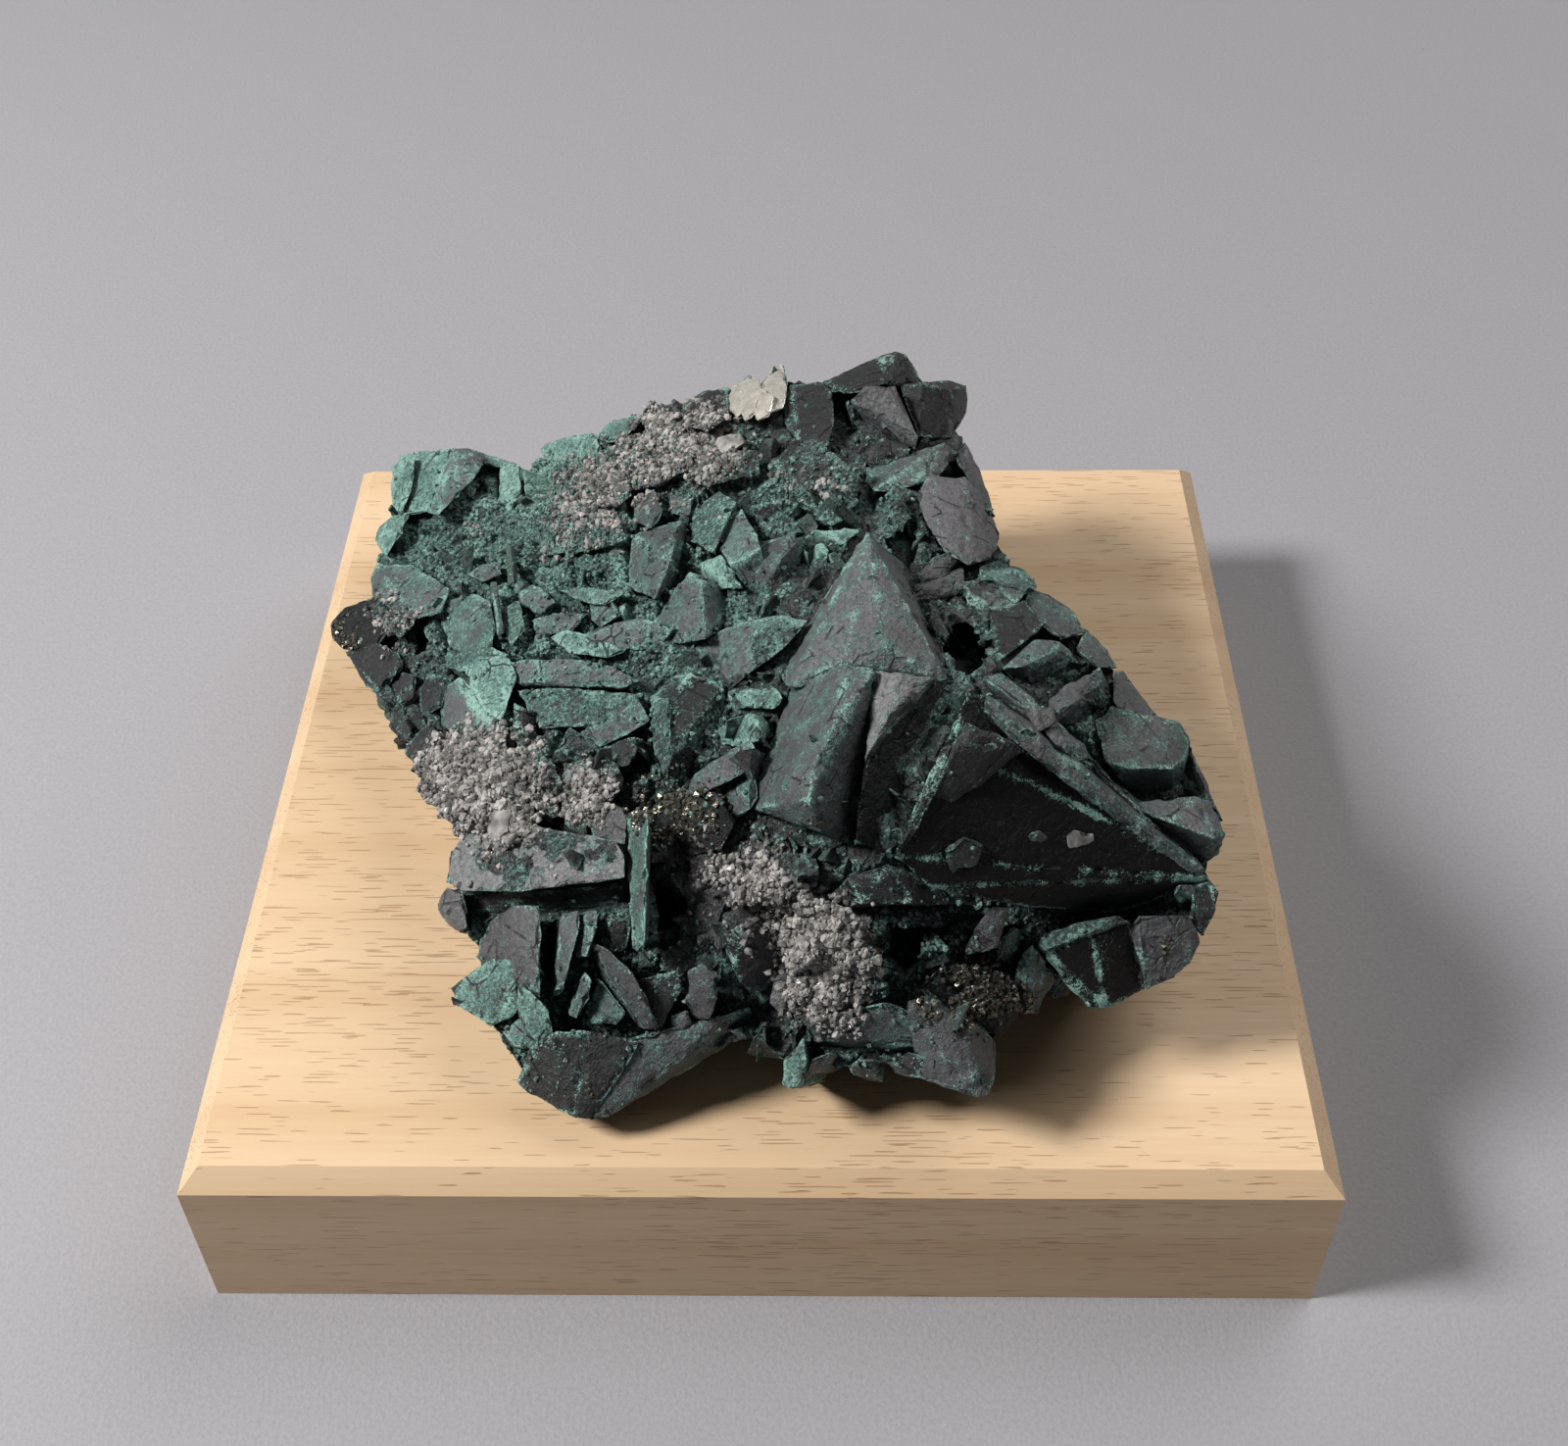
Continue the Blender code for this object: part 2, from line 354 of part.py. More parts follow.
        (638, 446, 1), (618, 452, 0.8)]),
    ("back_pyramid", 7.0, [(722, 460, 1.6), (733, 446, 2.4), (757, 445, 2.4), (762, 452, 2),
        (745, 463, 1.8)]),
    ("back_lumps_a", 10.0, [(655, 422, 0), (662, 411, 0.2), (692, 412, 0.4), (690, 440, 1.5),
        (660, 445, 0.8)]),
    ("back_lumps_b", 6.0, [(698, 414, 0.2), (722, 396, 0.2), (744, 396, 0.4), (745, 425, 1),
        (722, 440, 1.5), (700, 435, 1)]),
    ("quartz_point", 6.0, [(750, 410, 0.8), (754, 388, 0.3), (764, 381, 0.3), (775, 386, 0.8),
        (778, 404, 1.8), (772, 420, 1.8), (760, 430, 1.4)]),
    ("quartz_low", 6.0, [(774, 396, 0.9), (784, 385, 0.2), (800, 385, 0.2), (804, 398, 0.8),
        (800, 416, 1.2), (784, 422, 1.6)]),
    # Left front shelf and blades
    ("shelf_plate", 7.0, [(456, 882, 0.5), (459, 868, 0.8), (476, 850, 1), (540, 840, 2.4), (628, 856, 3),
        (638, 872, 3), (638, 896, 2.6), (560, 906, 2.8), (520, 911, 2.6), (470, 909, 1.6),
        (455, 900, 0.8)]),
    ("shelf_under", 4.0, [(470, 912, 0), (560, 908, 0.5), (637, 902, 0.5), (636, 918, -1), (600, 928, -2),
        (545, 922, -1.5), (500, 934, -2), (478, 936, -1.5)]),
    ("shelf_nub", 12.0, [(445, 922, 0.2), (455, 905, 1), (470, 908, 1.4), (473, 930, 1.2), (477, 947, 0.8),
        (469, 952, 0.5), (452, 940, 0.2)]),
    ("shelf_block", 7.0, [(500, 940, 0.4), (522, 924, 1.2), (551, 922, 2.2), (550, 960, 2.6),
        (549, 1004, 2.6), (552, 1020, 2), (530, 1012, 1.4), (498, 985, 0.2), (484, 976, 0),
        (488, 956, 0.2)]),
    ("blade_a", 6.0, [(572, 930, 1.4), (590, 929, 2.2), (590, 950, 2.4), (582, 980, 2.4), (574, 1010, 2),
        (564, 1018, 1), (566, 985, 1.2)]),
    ("blade_b", 6.0, [(590, 930, 1.5), (612, 926, 2), (606, 955, 2.4), (598, 976, 2.2), (586, 978, 1.4)]),
    ("blade_c", 6.0, [(596, 990, 1.4), (605, 1000, 2.4), (596, 1026, 2.2), (588, 1040, 1.6),
        (580, 1036, 1)]),
    ("blade_d", 6.0, [(612, 998, 1.2), (640, 1034, 1.6), (630, 1046, 1), (600, 1044, 0.6),
        (596, 1030, 0.4)]),
    ("leaning_plate", 5.0, [(608, 962, 2), (622, 970, 2.8), (645, 992, 3), (660, 1020, 2.8),
        (673, 1052, 2), (655, 1050, 1.5), (632, 1020, 1.6), (614, 988, 1.6)]),
    ("dark_triangle_face", 6.0, [(646, 1000, 1.8), (690, 990, 2), (696, 1010, 1.8), (680, 1040, 1.4),
        (672, 1055, 1.2), (660, 1035, 1.6)]),
    ("rough_block", 6.0, [(606, 945, 1), (622, 930, 1.6), (645, 942, 1), (640, 975, 0), (616, 968, 0.8)]),
    ("granular_lump", 9.0, [(459, 1008, 0.2), (478, 994, 1), (502, 976, 1.4), (530, 980, 1.6),
        (526, 1004, 1.6), (530, 1030, 1), (520, 1040, 0.5), (500, 1048, 0.3), (478, 1036, 0.2),
        (464, 1024, 0.2)]),
    ("green_foot", 6.0, [(512, 1052, 0.2), (530, 1038, 1), (562, 1040, 1.6), (566, 1062, 1.2),
        (545, 1070, 0.6), (520, 1069, 0.2)]),
    ("green_column", 6.0, [(528, 1000, 1.6), (545, 1014, 2.4), (560, 1030, 2), (562, 1052, 1.4),
        (548, 1064, 1.2), (532, 1050, 1.2), (526, 1024, 1.4)]),
    ("vertical_strip", 6.0, [(640, 832, 2), (650, 824, 2.8), (661, 830, 3.4), (659, 900, 3.4),
        (658, 962, 3), (652, 976, 2.4), (645, 966, 1.8), (640, 900, 1.8), (664, 860, -1.5),
        (664, 950, -2)]),
    ("sulphide_patch", 6.0, [(668, 812, 0), (700, 808, 0.8), (740, 822, 0.8), (752, 840, 0),
        (736, 868, -1), (700, 872, -1.6), (668, 862, -1.5)]),
    ("oval_crystal", 6.0, [(702, 990, 1.6), (716, 982, 2.2), (730, 996, 2.6), (733, 1020, 2.4),
        (724, 1040, 1.8), (706, 1036, 1.4), (698, 1020, 1.6)]),
    ("oval_foot", 6.0, [(684, 1036, 1.2), (702, 1030, 1.8), (708, 1044, 1.4), (700, 1060, 1),
        (684, 1060, 0.8)]),
    ("dark_oval", 6.0, [(736, 950, 1.6), (760, 940, 2.4), (790, 948, 1.2), (802, 966, 0), (800, 990, -1),
        (778, 1012, -1), (762, 1010, 0), (748, 992, 1), (738, 968, 1.4)]),
    ("bottom_lobe", 7.0, [(527, 1104, 0.2), (536, 1084, 0.5), (540, 1068, 1), (562, 1052, 2),
        (600, 1050, 2.4), (655, 1062, 2), (600, 1100, 1.5), (603, 1144, 0.4), (584, 1142, 0.3),
        (555, 1120, 0.2), (542, 1118, 0)]),
    ("bottom_lobe_right", 6.0, [(600, 1096, 1.6), (640, 1060, 1.8), (700, 1056, 1), (740, 1036, 0.6),
        (768, 1026, 0), (770, 1050, -5), (700, 1088, -4), (640, 1122, -2.4), (618, 1142, 0),
        (603, 1144, 0.2)]),
    # Front
    ("front_blade", 6.0, [(822, 1050, 1), (838, 1037, 1.8), (905, 1022, 2.2), (926, 1030, 2),
        (938, 1046, 1.8), (956, 1068, 0.8), (920, 1068, 0.6), (870, 1063, 0.6), (826, 1061, 0.5)]),
    ("front_crystal", 8.0, [(924, 1020, 2), (950, 1016, 2.4), (985, 1050, 3), (984, 1072, 2.6),
        (990, 1090, 2), (986, 1112, 0.8), (960, 1104, 0.2), (936, 1100, 0.2), (944, 1078, 1),
        (936, 1046, 2), (1000, 1046, 1.4), (1018, 1062, 0), (1015, 1100, 0), (1010, 1117, 0),
        (996, 1121, 0.2)]),
    ("front_corner", 9.0, [(797, 1080, 0.6), (820, 1058, 1.6), (824, 1082, 1.4), (818, 1104, 0.5),
        (805, 1113, 0.1), (797, 1106, 0.1)]),
    ("front_corner_lilac", 8.0, [(822, 1094, 0.4), (828, 1080, 1.2), (850, 1072, 1), (856, 1076, 0.4),
        (836, 1094, 0.2)]),
    ("front_nub", 8.0, [(864, 1087, 0.4), (874, 1080, 1.2), (893, 1081, 1.4), (896, 1098, 0.4),
        (884, 1101, 0.2), (868, 1096, 0.2), (904, 1084, -1), (900, 1104, -0.4)]),
    ("front_rib", 6.0, [(906, 1084, 0.4), (925, 1072, 1.4), (946, 1078, 1.6), (938, 1100, 0.2),
        (912, 1097, 0.2)]),
    ("above_lens", 6.0, [(845, 912, 0.6), (868, 892, 1.4), (908, 880, 1.6), (950, 905, 1),
        (1000, 922, 0.6), (930, 922, 1.8), (880, 924, 1.8), (850, 925, 0.6)]),
    ("front_crust_facet", 6.0, [(790, 1000, 1.2), (812, 992, 1.8), (814, 1018, 1.6), (800, 1040, 1),
        (784, 1024, 0.8)]),
    ("front_strip", 8.0, [(1012, 924, 1.8), (1031, 925, 2.4), (1028, 945, 2.6), (1018, 966, 2.4),
        (1004, 972, 1.6), (986, 972, 0.8), (992, 952, 1)]),
    ("front_strip_b", 5.0, [(1020, 962, 1.2), (1034, 945, 1.6), (1044, 950, 0.6), (1038, 980, -1),
        (1015, 985, -0.5)]),
    ("right_foot", 6.0, [(1038, 980, 0.6), (1053, 962, 1.6), (1068, 980, 2), (1077, 1000, 0.6),
        (1064, 1018, 0.2), (1058, 1034, 0.1), (1042, 1036, 0.1), (1034, 1020, 0)]),
    ("sparkling_mass", 7.0, [(935, 1008, 1), (960, 985, 1.4), (1000, 985, 1.6), (1035, 1000, 1.2),
        (1044, 1034, 0.2), (1020, 1058, 0.1), (1000, 1050, 0.8), (960, 1030, 1)]),
    ("lobe_face", 8.0, [(1058, 966, 1.6), (1060, 954, 1.6), (1106, 940, 2.2), (1141, 934, 2.4),
        (1154, 941, 2), (1112, 952, 3), (1068, 972, 2.6), (1156, 958, -1), (1162, 1000, -1.2),
        (1170, 1010, -0.6), (1130, 1030, 0.2), (1113, 1033, 0.2), (1098, 1016, 0.8), (1082, 996, 1.4)]),
    ("lobe_top", 6.0, [(1058, 964, 2.2), (1060, 954, 2), (1106, 939, 2.6), (1141, 933, 2.8),
        (1154, 940, 2.4), (1112, 952, 3.3), (1068, 971, 3)]),
    ("lobe_plate", 7.0, [(1152, 946, 1.8), (1162, 934, 2.2), (1216, 934, 1), (1222, 952, 0.4),
        (1196, 958, 1), (1164, 958, 1.6), (1170, 1010, 0.4), (1195, 998, 0), (1214, 983, 0),
        (1224, 962, 0)]),
    ("right_rim_low", 9.0, [(1216, 905, 1), (1234, 898, 0.6), (1244, 910, 0), (1242, 928, 0),
        (1228, 958, 0), (1216, 940, 0.8)]),
    ("right_rim_block", 5.0, [(1196, 912, 1.2), (1202, 902, 1.6), (1218, 902, 1.4), (1222, 916, 0.6),
        (1206, 922, 0.2)]),
]

# Lumpy drusy crusts grown over the crystals: name, depth, corners u, v, rise above the bed in mm.
# The two in SWOLLEN_CRUSTS are large enough for lumps of their own
SWOLLEN_CRUSTS = ("crust_left", "crust_front")
CRUSTS = [
    ("crust_left", 5.0, [(430, 800, 0.2), (438, 770, 1), (456, 762, 1.6), (520, 768, 2.6),
        (566, 782, 2.8), (564, 826, 0.5), (542, 838, 0), (500, 824, 1), (462, 840, 0.2),
        (440, 826, 0.2)]),
    ("crust_left_low", 7.0, [(490, 838, 1.2), (510, 822, 2.2), (532, 830, 2.6), (546, 836, 1.6),
        (520, 862, 0.6), (504, 855, 0.8)]),
    ("crust_small", 7.0, [(572, 800, 1), (600, 788, 2), (628, 782, 2.2), (634, 796, 1.6), (606, 826, 1.6),
        (596, 852, 1), (580, 846, 0.6)]),
    ("crust_centre", 5.0, [(724, 915, 0.6), (742, 885, 1.4), (770, 872, 1.6), (830, 878, 1.2),
        (834, 905, 1), (792, 918, 1.4), (752, 928, 0.8)]),
    ("crust_front", 6.0, [(800, 945, 1.5), (822, 922, 2.4), (870, 928, 3), (880, 960, 3), (898, 985, 1.8),
        (896, 1010, 0.6), (862, 1034, 0.6), (825, 1044, 0.8), (806, 1028, 1), (806, 985, 1.6)]),
    ("crust_back_a", 5.0, [(562, 500, 0.2), (590, 478, 0.8), (622, 480, 1.8), (640, 505, 1.8),
        (606, 522, 1), (575, 520, 0.6)]),
    ("crust_back_b", 5.0, [(640, 468, 0.8), (664, 446, 1.4), (700, 452, 2), (704, 476, 1.8),
        (668, 492, 1.2), (645, 486, 0.8)]),
    ("crust_back_c", 9.0, [(700, 470, 0.8), (732, 462, 1.6), (768, 468, 1.6), (772, 482, 1),
        (736, 490, 1.2), (712, 492, 0.8)]),
    ("crust_back_d", 5.0, [(548, 540, 0.4), (578, 526, 1.4), (622, 532, 1.8), (634, 548, 1),
        (590, 560, 1), (562, 556, 0.4)]),
    ("crust_back_e", 5.0, [(800, 470, 0.4), (830, 460, 1.2), (868, 480, 1.6), (876, 512, 1.2),
        (850, 530, 0.6), (820, 505, 0.6)]),
    ("crust_tip", 7.0, [(345, 640, 0.2), (372, 622, 1.2), (410, 622, 2), (436, 618, 2), (412, 642, 2.2),
        (375, 650, 1.4)]),
]


def camera_axes():
    """Return the camera's forward, right and up directions."""
    forward = Vector((0, math.cos(CAMERA_PITCH), -math.sin(CAMERA_PITCH)))
    side = Vector((1, 0, 0))
    above = Vector((0, math.sin(CAMERA_PITCH), math.cos(CAMERA_PITCH)))
    turn = Matrix.Rotation(CAMERA_YAW, 3, "Z")
    forward = turn @ forward
    side = turn @ side
    above = turn @ above
    right = math.cos(CAMERA_ROLL) * side + math.sin(CAMERA_ROLL) * above
    up = -math.sin(CAMERA_ROLL) * side + math.cos(CAMERA_ROLL) * above
    return forward, right, up


FORWARD, RIGHT, UP = camera_axes()


def line_of_sight(u, v):
    """Return the direction in which pixel u, v looks."""
    return FORWARD + RIGHT * (u - CENTRE_U) / FOCAL_PIXELS - UP * (v - CENTRE_V) / FOCAL_PIXELS


def seen(u, v, height):
    """Return the point in mm that pixel u, v shows at a height in mm above the table."""
    sight = line_of_sight(u, v)
    return CAMERA_PLACE + sight * ((height - CAMERA_PLACE.z) / sight.z)


def pixel_of(point):
    """Return the pixel at which a point in mm is seen."""
    offset = point - CAMERA_PLACE
    depth = offset.dot(FORWARD)
    u = CENTRE_U + FOCAL_PIXELS * offset.dot(RIGHT) / depth
    v = CENTRE_V - FOCAL_PIXELS * offset.dot(UP) / depth
    return u, v


def bed_weights():
    """Solve the weights of a smooth surface through the bed's spots."""
    spots = np.array(BED, dtype=float)
    gaps = np.hypot(spots[:, None, 0] - spots[None, :, 0], spots[:, None, 1] - spots[None, :, 1])
    return spots, np.linalg.solve(gaps, spots[:, 2])


SPOTS, WEIGHTS = bed_weights()


def bed(u, v):
    """Return the bed's height in mm at pixel u, v."""
    gaps = np.hypot(SPOTS[:, 0] - u, SPOTS[:, 1] - v)
    return float(gaps @ WEIGHTS)


def inside(outline, x, y):
    """Say whether the point x, y lies inside a closed outline."""
    found = False
    previous = outline[-1]
    for corner in outline:
        if (corner[1] > y) != (previous[1] > y):
            crossing = corner[0] + (y - corner[1]) / (previous[1] - corner[1]) * (previous[0] - corner[0])
            if x < crossing:
                found = not found
        previous = corner
    return found


def reach(outline, centre, angle):
    """Return how far an outline lies from its centre in the direction of an angle."""
    along = (math.cos(angle), math.sin(angle))
    best = 0.0
    previous = outline[-1]
    for corner in outline:
        ax = previous[0] - centre[0]
        ay = previous[1] - centre[1]
        bx = corner[0] - previous[0]
        by = corner[1] - previous[1]
        cross = along[0] * by - along[1] * bx
        if abs(cross) > 1e-9:
            distance = (ax * by - ay * bx) / cross
            share = (ax * along[1] - ay * along[0]) / cross
            if distance > 0 and 0 <= share <= 1:
                best = max(best, distance)
        previous = corner
    return best


def new_object(name, bm, collection):
    """Make a mesh object in a collection from a bmesh in mm.

    Corners, faces and the first corner of each face are put in the order of their places, because
    Blender's own order can change from run to run, and a Boolean's result with it.
    """
    corners = sorted(bm.verts, key=lambda vert: tuple(vert.co))
    number = {vert: index for index, vert in enumerate(corners)}
    faces = []
    for face in bm.faces:
        ring = [number[vert] for vert in face.verts]
        first = ring.index(min(ring))
        faces.append(ring[first:] + ring[:first])
    mesh = bpy.data.meshes.new(name)
    mesh.from_pydata([vert.co * MM for vert in corners], [], sorted(faces))
    bm.free()
    obj = bpy.data.objects.new(name, mesh)
    collection.objects.link(obj)
    return obj


def make_material(name, colour, roughness, metallic):
    """Make a Principled material."""
    material = bpy.data.materials.new(name)
    material.use_nodes = True
    shader = material.node_tree.nodes["Principled BSDF"]
    shader.inputs["Base Color"].default_value = (*colour, 1)
    shader.inputs["Roughness"].default_value = roughness
    shader.inputs["Metallic"].default_value = metallic
    material.diffuse_color = (*colour, 1)
    return material


def make_stand(collection):
    """Make the square block with its chamfered top edges."""
    bm = bmesh.new()
    bmesh.ops.create_cube(bm, size=1)
    bmesh.ops.scale(bm, vec=(STAND_SIDE, STAND_SIDE, STAND_THICKNESS), verts=bm.verts)
    bmesh.ops.translate(bm, vec=(0, 0, STAND_THICKNESS / 2), verts=bm.verts)
    top_edges = [e for e in bm.edges if all(v.co.z > STAND_THICKNESS - 0.01 for v in e.verts)]
    bmesh.ops.bevel(bm, geom=top_edges, offset=STAND_CHAMFER, segments=1, profile=0.5, affect="EDGES",
                    clamp_overlap=True, material=-1)
    return new_object("wooden_stand", bm, collection)


def upper_point(latitude, longitude):
    """Place one point of the host rock's upper half, which follows the bed."""
    edge = reach(ROCK_OUTLINE, ROCK_CENTRE, -longitude)
    share = math.cos(latitude) ** RING_CROWDING
    u = ROCK_CENTRE[0] + edge * share * math.cos(longitude)
    v = ROCK_CENTRE[1] - edge * share * math.sin(longitude)
    rough = noise.noise(Vector((u, v, SEED)) * BED_NOISE_PER_PIXEL) * 2 * ROCK_ROUGHNESS
    return seen(u, v, bed(u, v) - ROCK_BELOW_BED + rough)


def wall_point(rim, foot, down):
    """Place one point of the wall between the rim and the foot, down being its share of the way."""
    flat = rim.lerp(foot, down ** WALL_TUCK)
    height = rim.z + (UNDERSIDE_HEIGHT - rim.z) * down ** WALL_DROP
    place = Vector((flat.x, flat.y, height))
    rough = noise.noise(place * WALL_NOISE_PER_MM) * 2 * ROCK_ROUGHNESS * (1 - down)
    return Vector((flat.x, flat.y, height + rough))


def underside_point(foot, inward):
    """Place one point of the underside, inward being its share of the way to the middle."""
    flat = foot.lerp(Vector((*FOOT_CENTRE, 0)), inward)
    arch = UNDERSIDE_ARCH * math.sin(inward * math.pi / 2)
    rough = noise.noise(Vector((flat.x, flat.y, 5)) * UNDERSIDE_NOISE_PER_MM) * UNDERSIDE_ROUGHNESS
    return Vector((flat.x, flat.y, UNDERSIDE_HEIGHT + arch + rough))


def rock_point(latitude, longitude):
    """Place one point of the host rock: the upper half follows the bed, the lower half the footprint."""
    if latitude >= 0:
        return upper_point(latitude, longitude)
    foot_edge = reach(FOOTPRINT, FOOT_CENTRE, longitude)
    foot = Vector((FOOT_CENTRE[0] + foot_edge * math.cos(longitude),
                   FOOT_CENTRE[1] + foot_edge * math.sin(longitude), 0))
    depth = -latitude / (math.pi / 2)
    if depth < WALL_SHARE:
        point = wall_point(upper_point(0.0, longitude), foot, depth / WALL_SHARE)
    else:
        point = underside_point(foot, (depth - WALL_SHARE) / (1 - WALL_SHARE))
    point.z = max(point.z, UNDERSIDE_HEIGHT)
    return point


def make_rock(collection):
    """Make the host rock from a sphere whose rings are moved to the bed and to the footprint."""
    bm = bmesh.new()
    bmesh.ops.create_uvsphere(bm, u_segments=ROCK_SEGMENTS, v_segments=ROCK_RINGS, radius=1)
    for vert in bm.verts:
        flat = math.hypot(vert.co.x, vert.co.y)
        latitude = math.atan2(vert.co.z, flat)
        longitude = math.atan2(vert.co.y, vert.co.x)
        vert.co = rock_point(latitude, longitude)
    bmesh.ops.triangulate(bm, faces=bm.faces)
    bmesh.ops.recalc_face_normals(bm, faces=bm.faces)
    return new_object("tennantite_cluster", bm, collection)


def hull_of(points):
    """Return a bmesh of the convex hull of some points."""
    bm = bmesh.new()
    for point in points:
        bm.verts.new(point)
    result = bmesh.ops.convex_hull(bm, input=bm.verts)
    spare = {item for item in result["geom_interior"] if isinstance(item, bmesh.types.BMVert)}
    spare |= {item for item in result["geom_unused"] if isinstance(item, bmesh.types.BMVert)}
    bmesh.ops.delete(bm, geom=list(spare), context="VERTS")
    bmesh.ops.remove_doubles(bm, verts=bm.verts, dist=WELD_DISTANCE)
    bmesh.ops.recalc_face_normals(bm, faces=bm.faces)
    return bm


def crystal_points(depth, corners):
    """Return a crystal's seen corners and, behind each of them, a corner sunk into the rock."""
    front = [seen(u, v, bed(u, v) + rise) for u, v, rise in corners]
    middle = sum(front, Vector()) / len(front)
    lean = noise.noise_vector(middle * LEAN_NOISE_PER_MM) * SINK_LEAN
    back = []
    for point, (u, v, _) in zip(front, corners):
        inward = (line_of_sight(u, v).normalized() + lean).normalized()
        sunk = point.lerp(middle, SINK_TAPER) + inward * depth
        sunk.z = max(sunk.z, UNDERSIDE_HEIGHT)
        back.append(sunk)
    return front + back


def make_hollow(name, depth, corners, collection):
    """Make the cutter of one hollow."""
    points = []
    mouth = [seen(u, v, bed(u, v) + HOLLOW_MOUTH) for u, v in corners]
    middle = sum(mouth, Vector()) / len(mouth)
    for point, (u, v) in zip(mouth, corners):
        away = line_of_sight(u, v).normalized()
        points.append(point)
        points.append(point.lerp(middle, HOLLOW_TAPER) + away * (HOLLOW_PAST_BED + depth))
    return new_object(name, hull_of(points), collection)


def make_crust(name, depth, corners, collection):
    """Make one lumpy crust: a hull, divided, and pushed in and out."""
    bm = hull_of(crystal_points(depth, corners))
    if name not in SWOLLEN_CRUSTS:
        return new_object(name, bm, collection)
    bmesh.ops.triangulate(bm, faces=bm.faces)
    bmesh.ops.subdivide_edges(bm, edges=bm.edges, cuts=1, use_grid_fill=True)
    bmesh.ops.triangulate(bm, faces=bm.faces)
    bm.normal_update()
    moves = []
    for vert in bm.verts:
        swell = noise.noise(vert.co * LUMP_NOISE_PER_MM)
        moves.append(vert.normal * swell * LUMP_HEIGHT)
    for vert, move in zip(bm.verts, moves):
        vert.co += move
        vert.co.z = max(vert.co.z, UNDERSIDE_HEIGHT)
    return new_object(name, bm, collection)


def small_crystal(size, place, direction, turn, sides, blunt):
    """Return a bmesh of one small crystal, a three or four sided pyramid with its foot below its place."""
    bm = bmesh.new()
    bmesh.ops.create_cone(bm, cap_ends=True, segments=sides, radius1=size * SMALL_FOOT_RADIUS,
                          radius2=size * blunt, depth=size * (SMALL_FULL_HEIGHT - blunt))
    aim = direction.to_track_quat("Z", "Y").to_matrix().to_4x4()
    spin = Matrix.Rotation(turn, 4, "Z")
    foot = place - direction * size * SMALL_SINK
    bm.transform(Matrix.Translation(foot) @ aim @ spin)
    return bm


def random_direction(rng):
    """Return a direction chosen evenly over the sphere."""
    height = rng.uniform(-1, 1)
    angle = rng.uniform(0, 2 * math.pi)
    flat = math.sqrt(1 - height * height)
    return Vector((flat * math.cos(angle), flat * math.sin(angle), height))


def allowed(bm, hidden):
    """Say whether a small crystal keeps inside the outline seen and above the stand."""
    for vert in bm.verts:
        if vert.co.z < UNDERSIDE_HEIGHT + STAND_CLEARANCE:
            return False
        if abs(vert.co.x) > STAND_SIDE / 2 - SIDE_MARGIN or abs(vert.co.y) > STAND_SIDE / 2 - FRONT_MARGIN:
            return False
        if not inside(ROCK_OUTLINE, *pixel_of(vert.co)):
            return False
        if hidden and vert.co.z < LOWEST_SHOWN and vert.co.y < FRONT_ZONE:
            return False
    return True


def mesh_tree(objects):
    """Return a search tree, in mm, over several mesh objects."""
    corners = []
    faces = []
    for obj in objects:
        base = len(corners)
        corners.extend(vert.co / MM for vert in obj.data.vertices)
        faces.extend([base + index for index in face.vertices] for face in obj.data.polygons)
    return BVHTree.FromPolygons(corners, faces)


def add_seen_small(rng, rock, crystals, collection):
    """Grow small crystals where a line of sight meets bare rock."""
    crystal_tree = mesh_tree(crystals)
    rock_tree = mesh_tree([rock])
    count = 0
    tries = 0
    while count < SEEN_SMALL_CRYSTALS and tries < MOST_TRIES:
        tries += 1
        u = rng.uniform(*WINDOW_U)
        v = rng.uniform(*WINDOW_V)
        if not inside(ROCK_OUTLINE, u, v):
            continue
        sight = line_of_sight(u, v).normalized()
        if crystal_tree.ray_cast(CAMERA_PLACE, sight)[0] is not None:
            continue
        spot = rock_tree.ray_cast(CAMERA_PLACE, sight)[0]
        if spot is None:
            continue
        size = rng.uniform(SMALL_CRYSTAL_MIN, SMALL_CRYSTAL_MAX)
        lean = (SEEN_LEAN + random_direction(rng) * SEEN_SPREAD).normalized()
        turn = rng.uniform(0, 2 * math.pi)
        bm = small_crystal(size, spot, lean, turn, rng.choice(SMALL_SIDES), SEEN_BLUNTNESS)
        if allowed(bm, False):
            new_object("small_seen_%03d" % count, bm, collection)
            count += 1
        else:
            bm.free()


def add_hidden_small(rng, rock, collection):
    """Grow small crystals over the back, the sides and the underside."""
    rock_tree = mesh_tree([rock])
    count = 0
    tries = 0
    while count < HIDDEN_CRYSTALS and tries < MOST_TRIES:
        tries += 1
        start = START_PLACE + random_direction(rng) * START_DISTANCE
        aim = Vector((rng.uniform(*AIM_X), rng.uniform(*AIM_Y), rng.uniform(*AIM_Z)))
        spot, normal, _, _ = rock_tree.ray_cast(start, (aim - start).normalized())
        if spot is None or normal.dot(FORWARD) < FACING_LIMIT:
            continue
        size = rng.uniform(HIDDEN_CRYSTAL_MIN, HIDDEN_CRYSTAL_MAX)
        lean = (normal + random_direction(rng) * HIDDEN_SPREAD).normalized()
        turn = rng.uniform(0, 2 * math.pi)
        sides = rng.choice(SMALL_SIDES)
        bm = small_crystal(size, spot, lean, turn, sides, rng.uniform(*HIDDEN_BLUNTNESS))
        if allowed(bm, True):
            new_object("small_hidden_%03d" % count, bm, collection)
            count += 1
        else:
            bm.free()


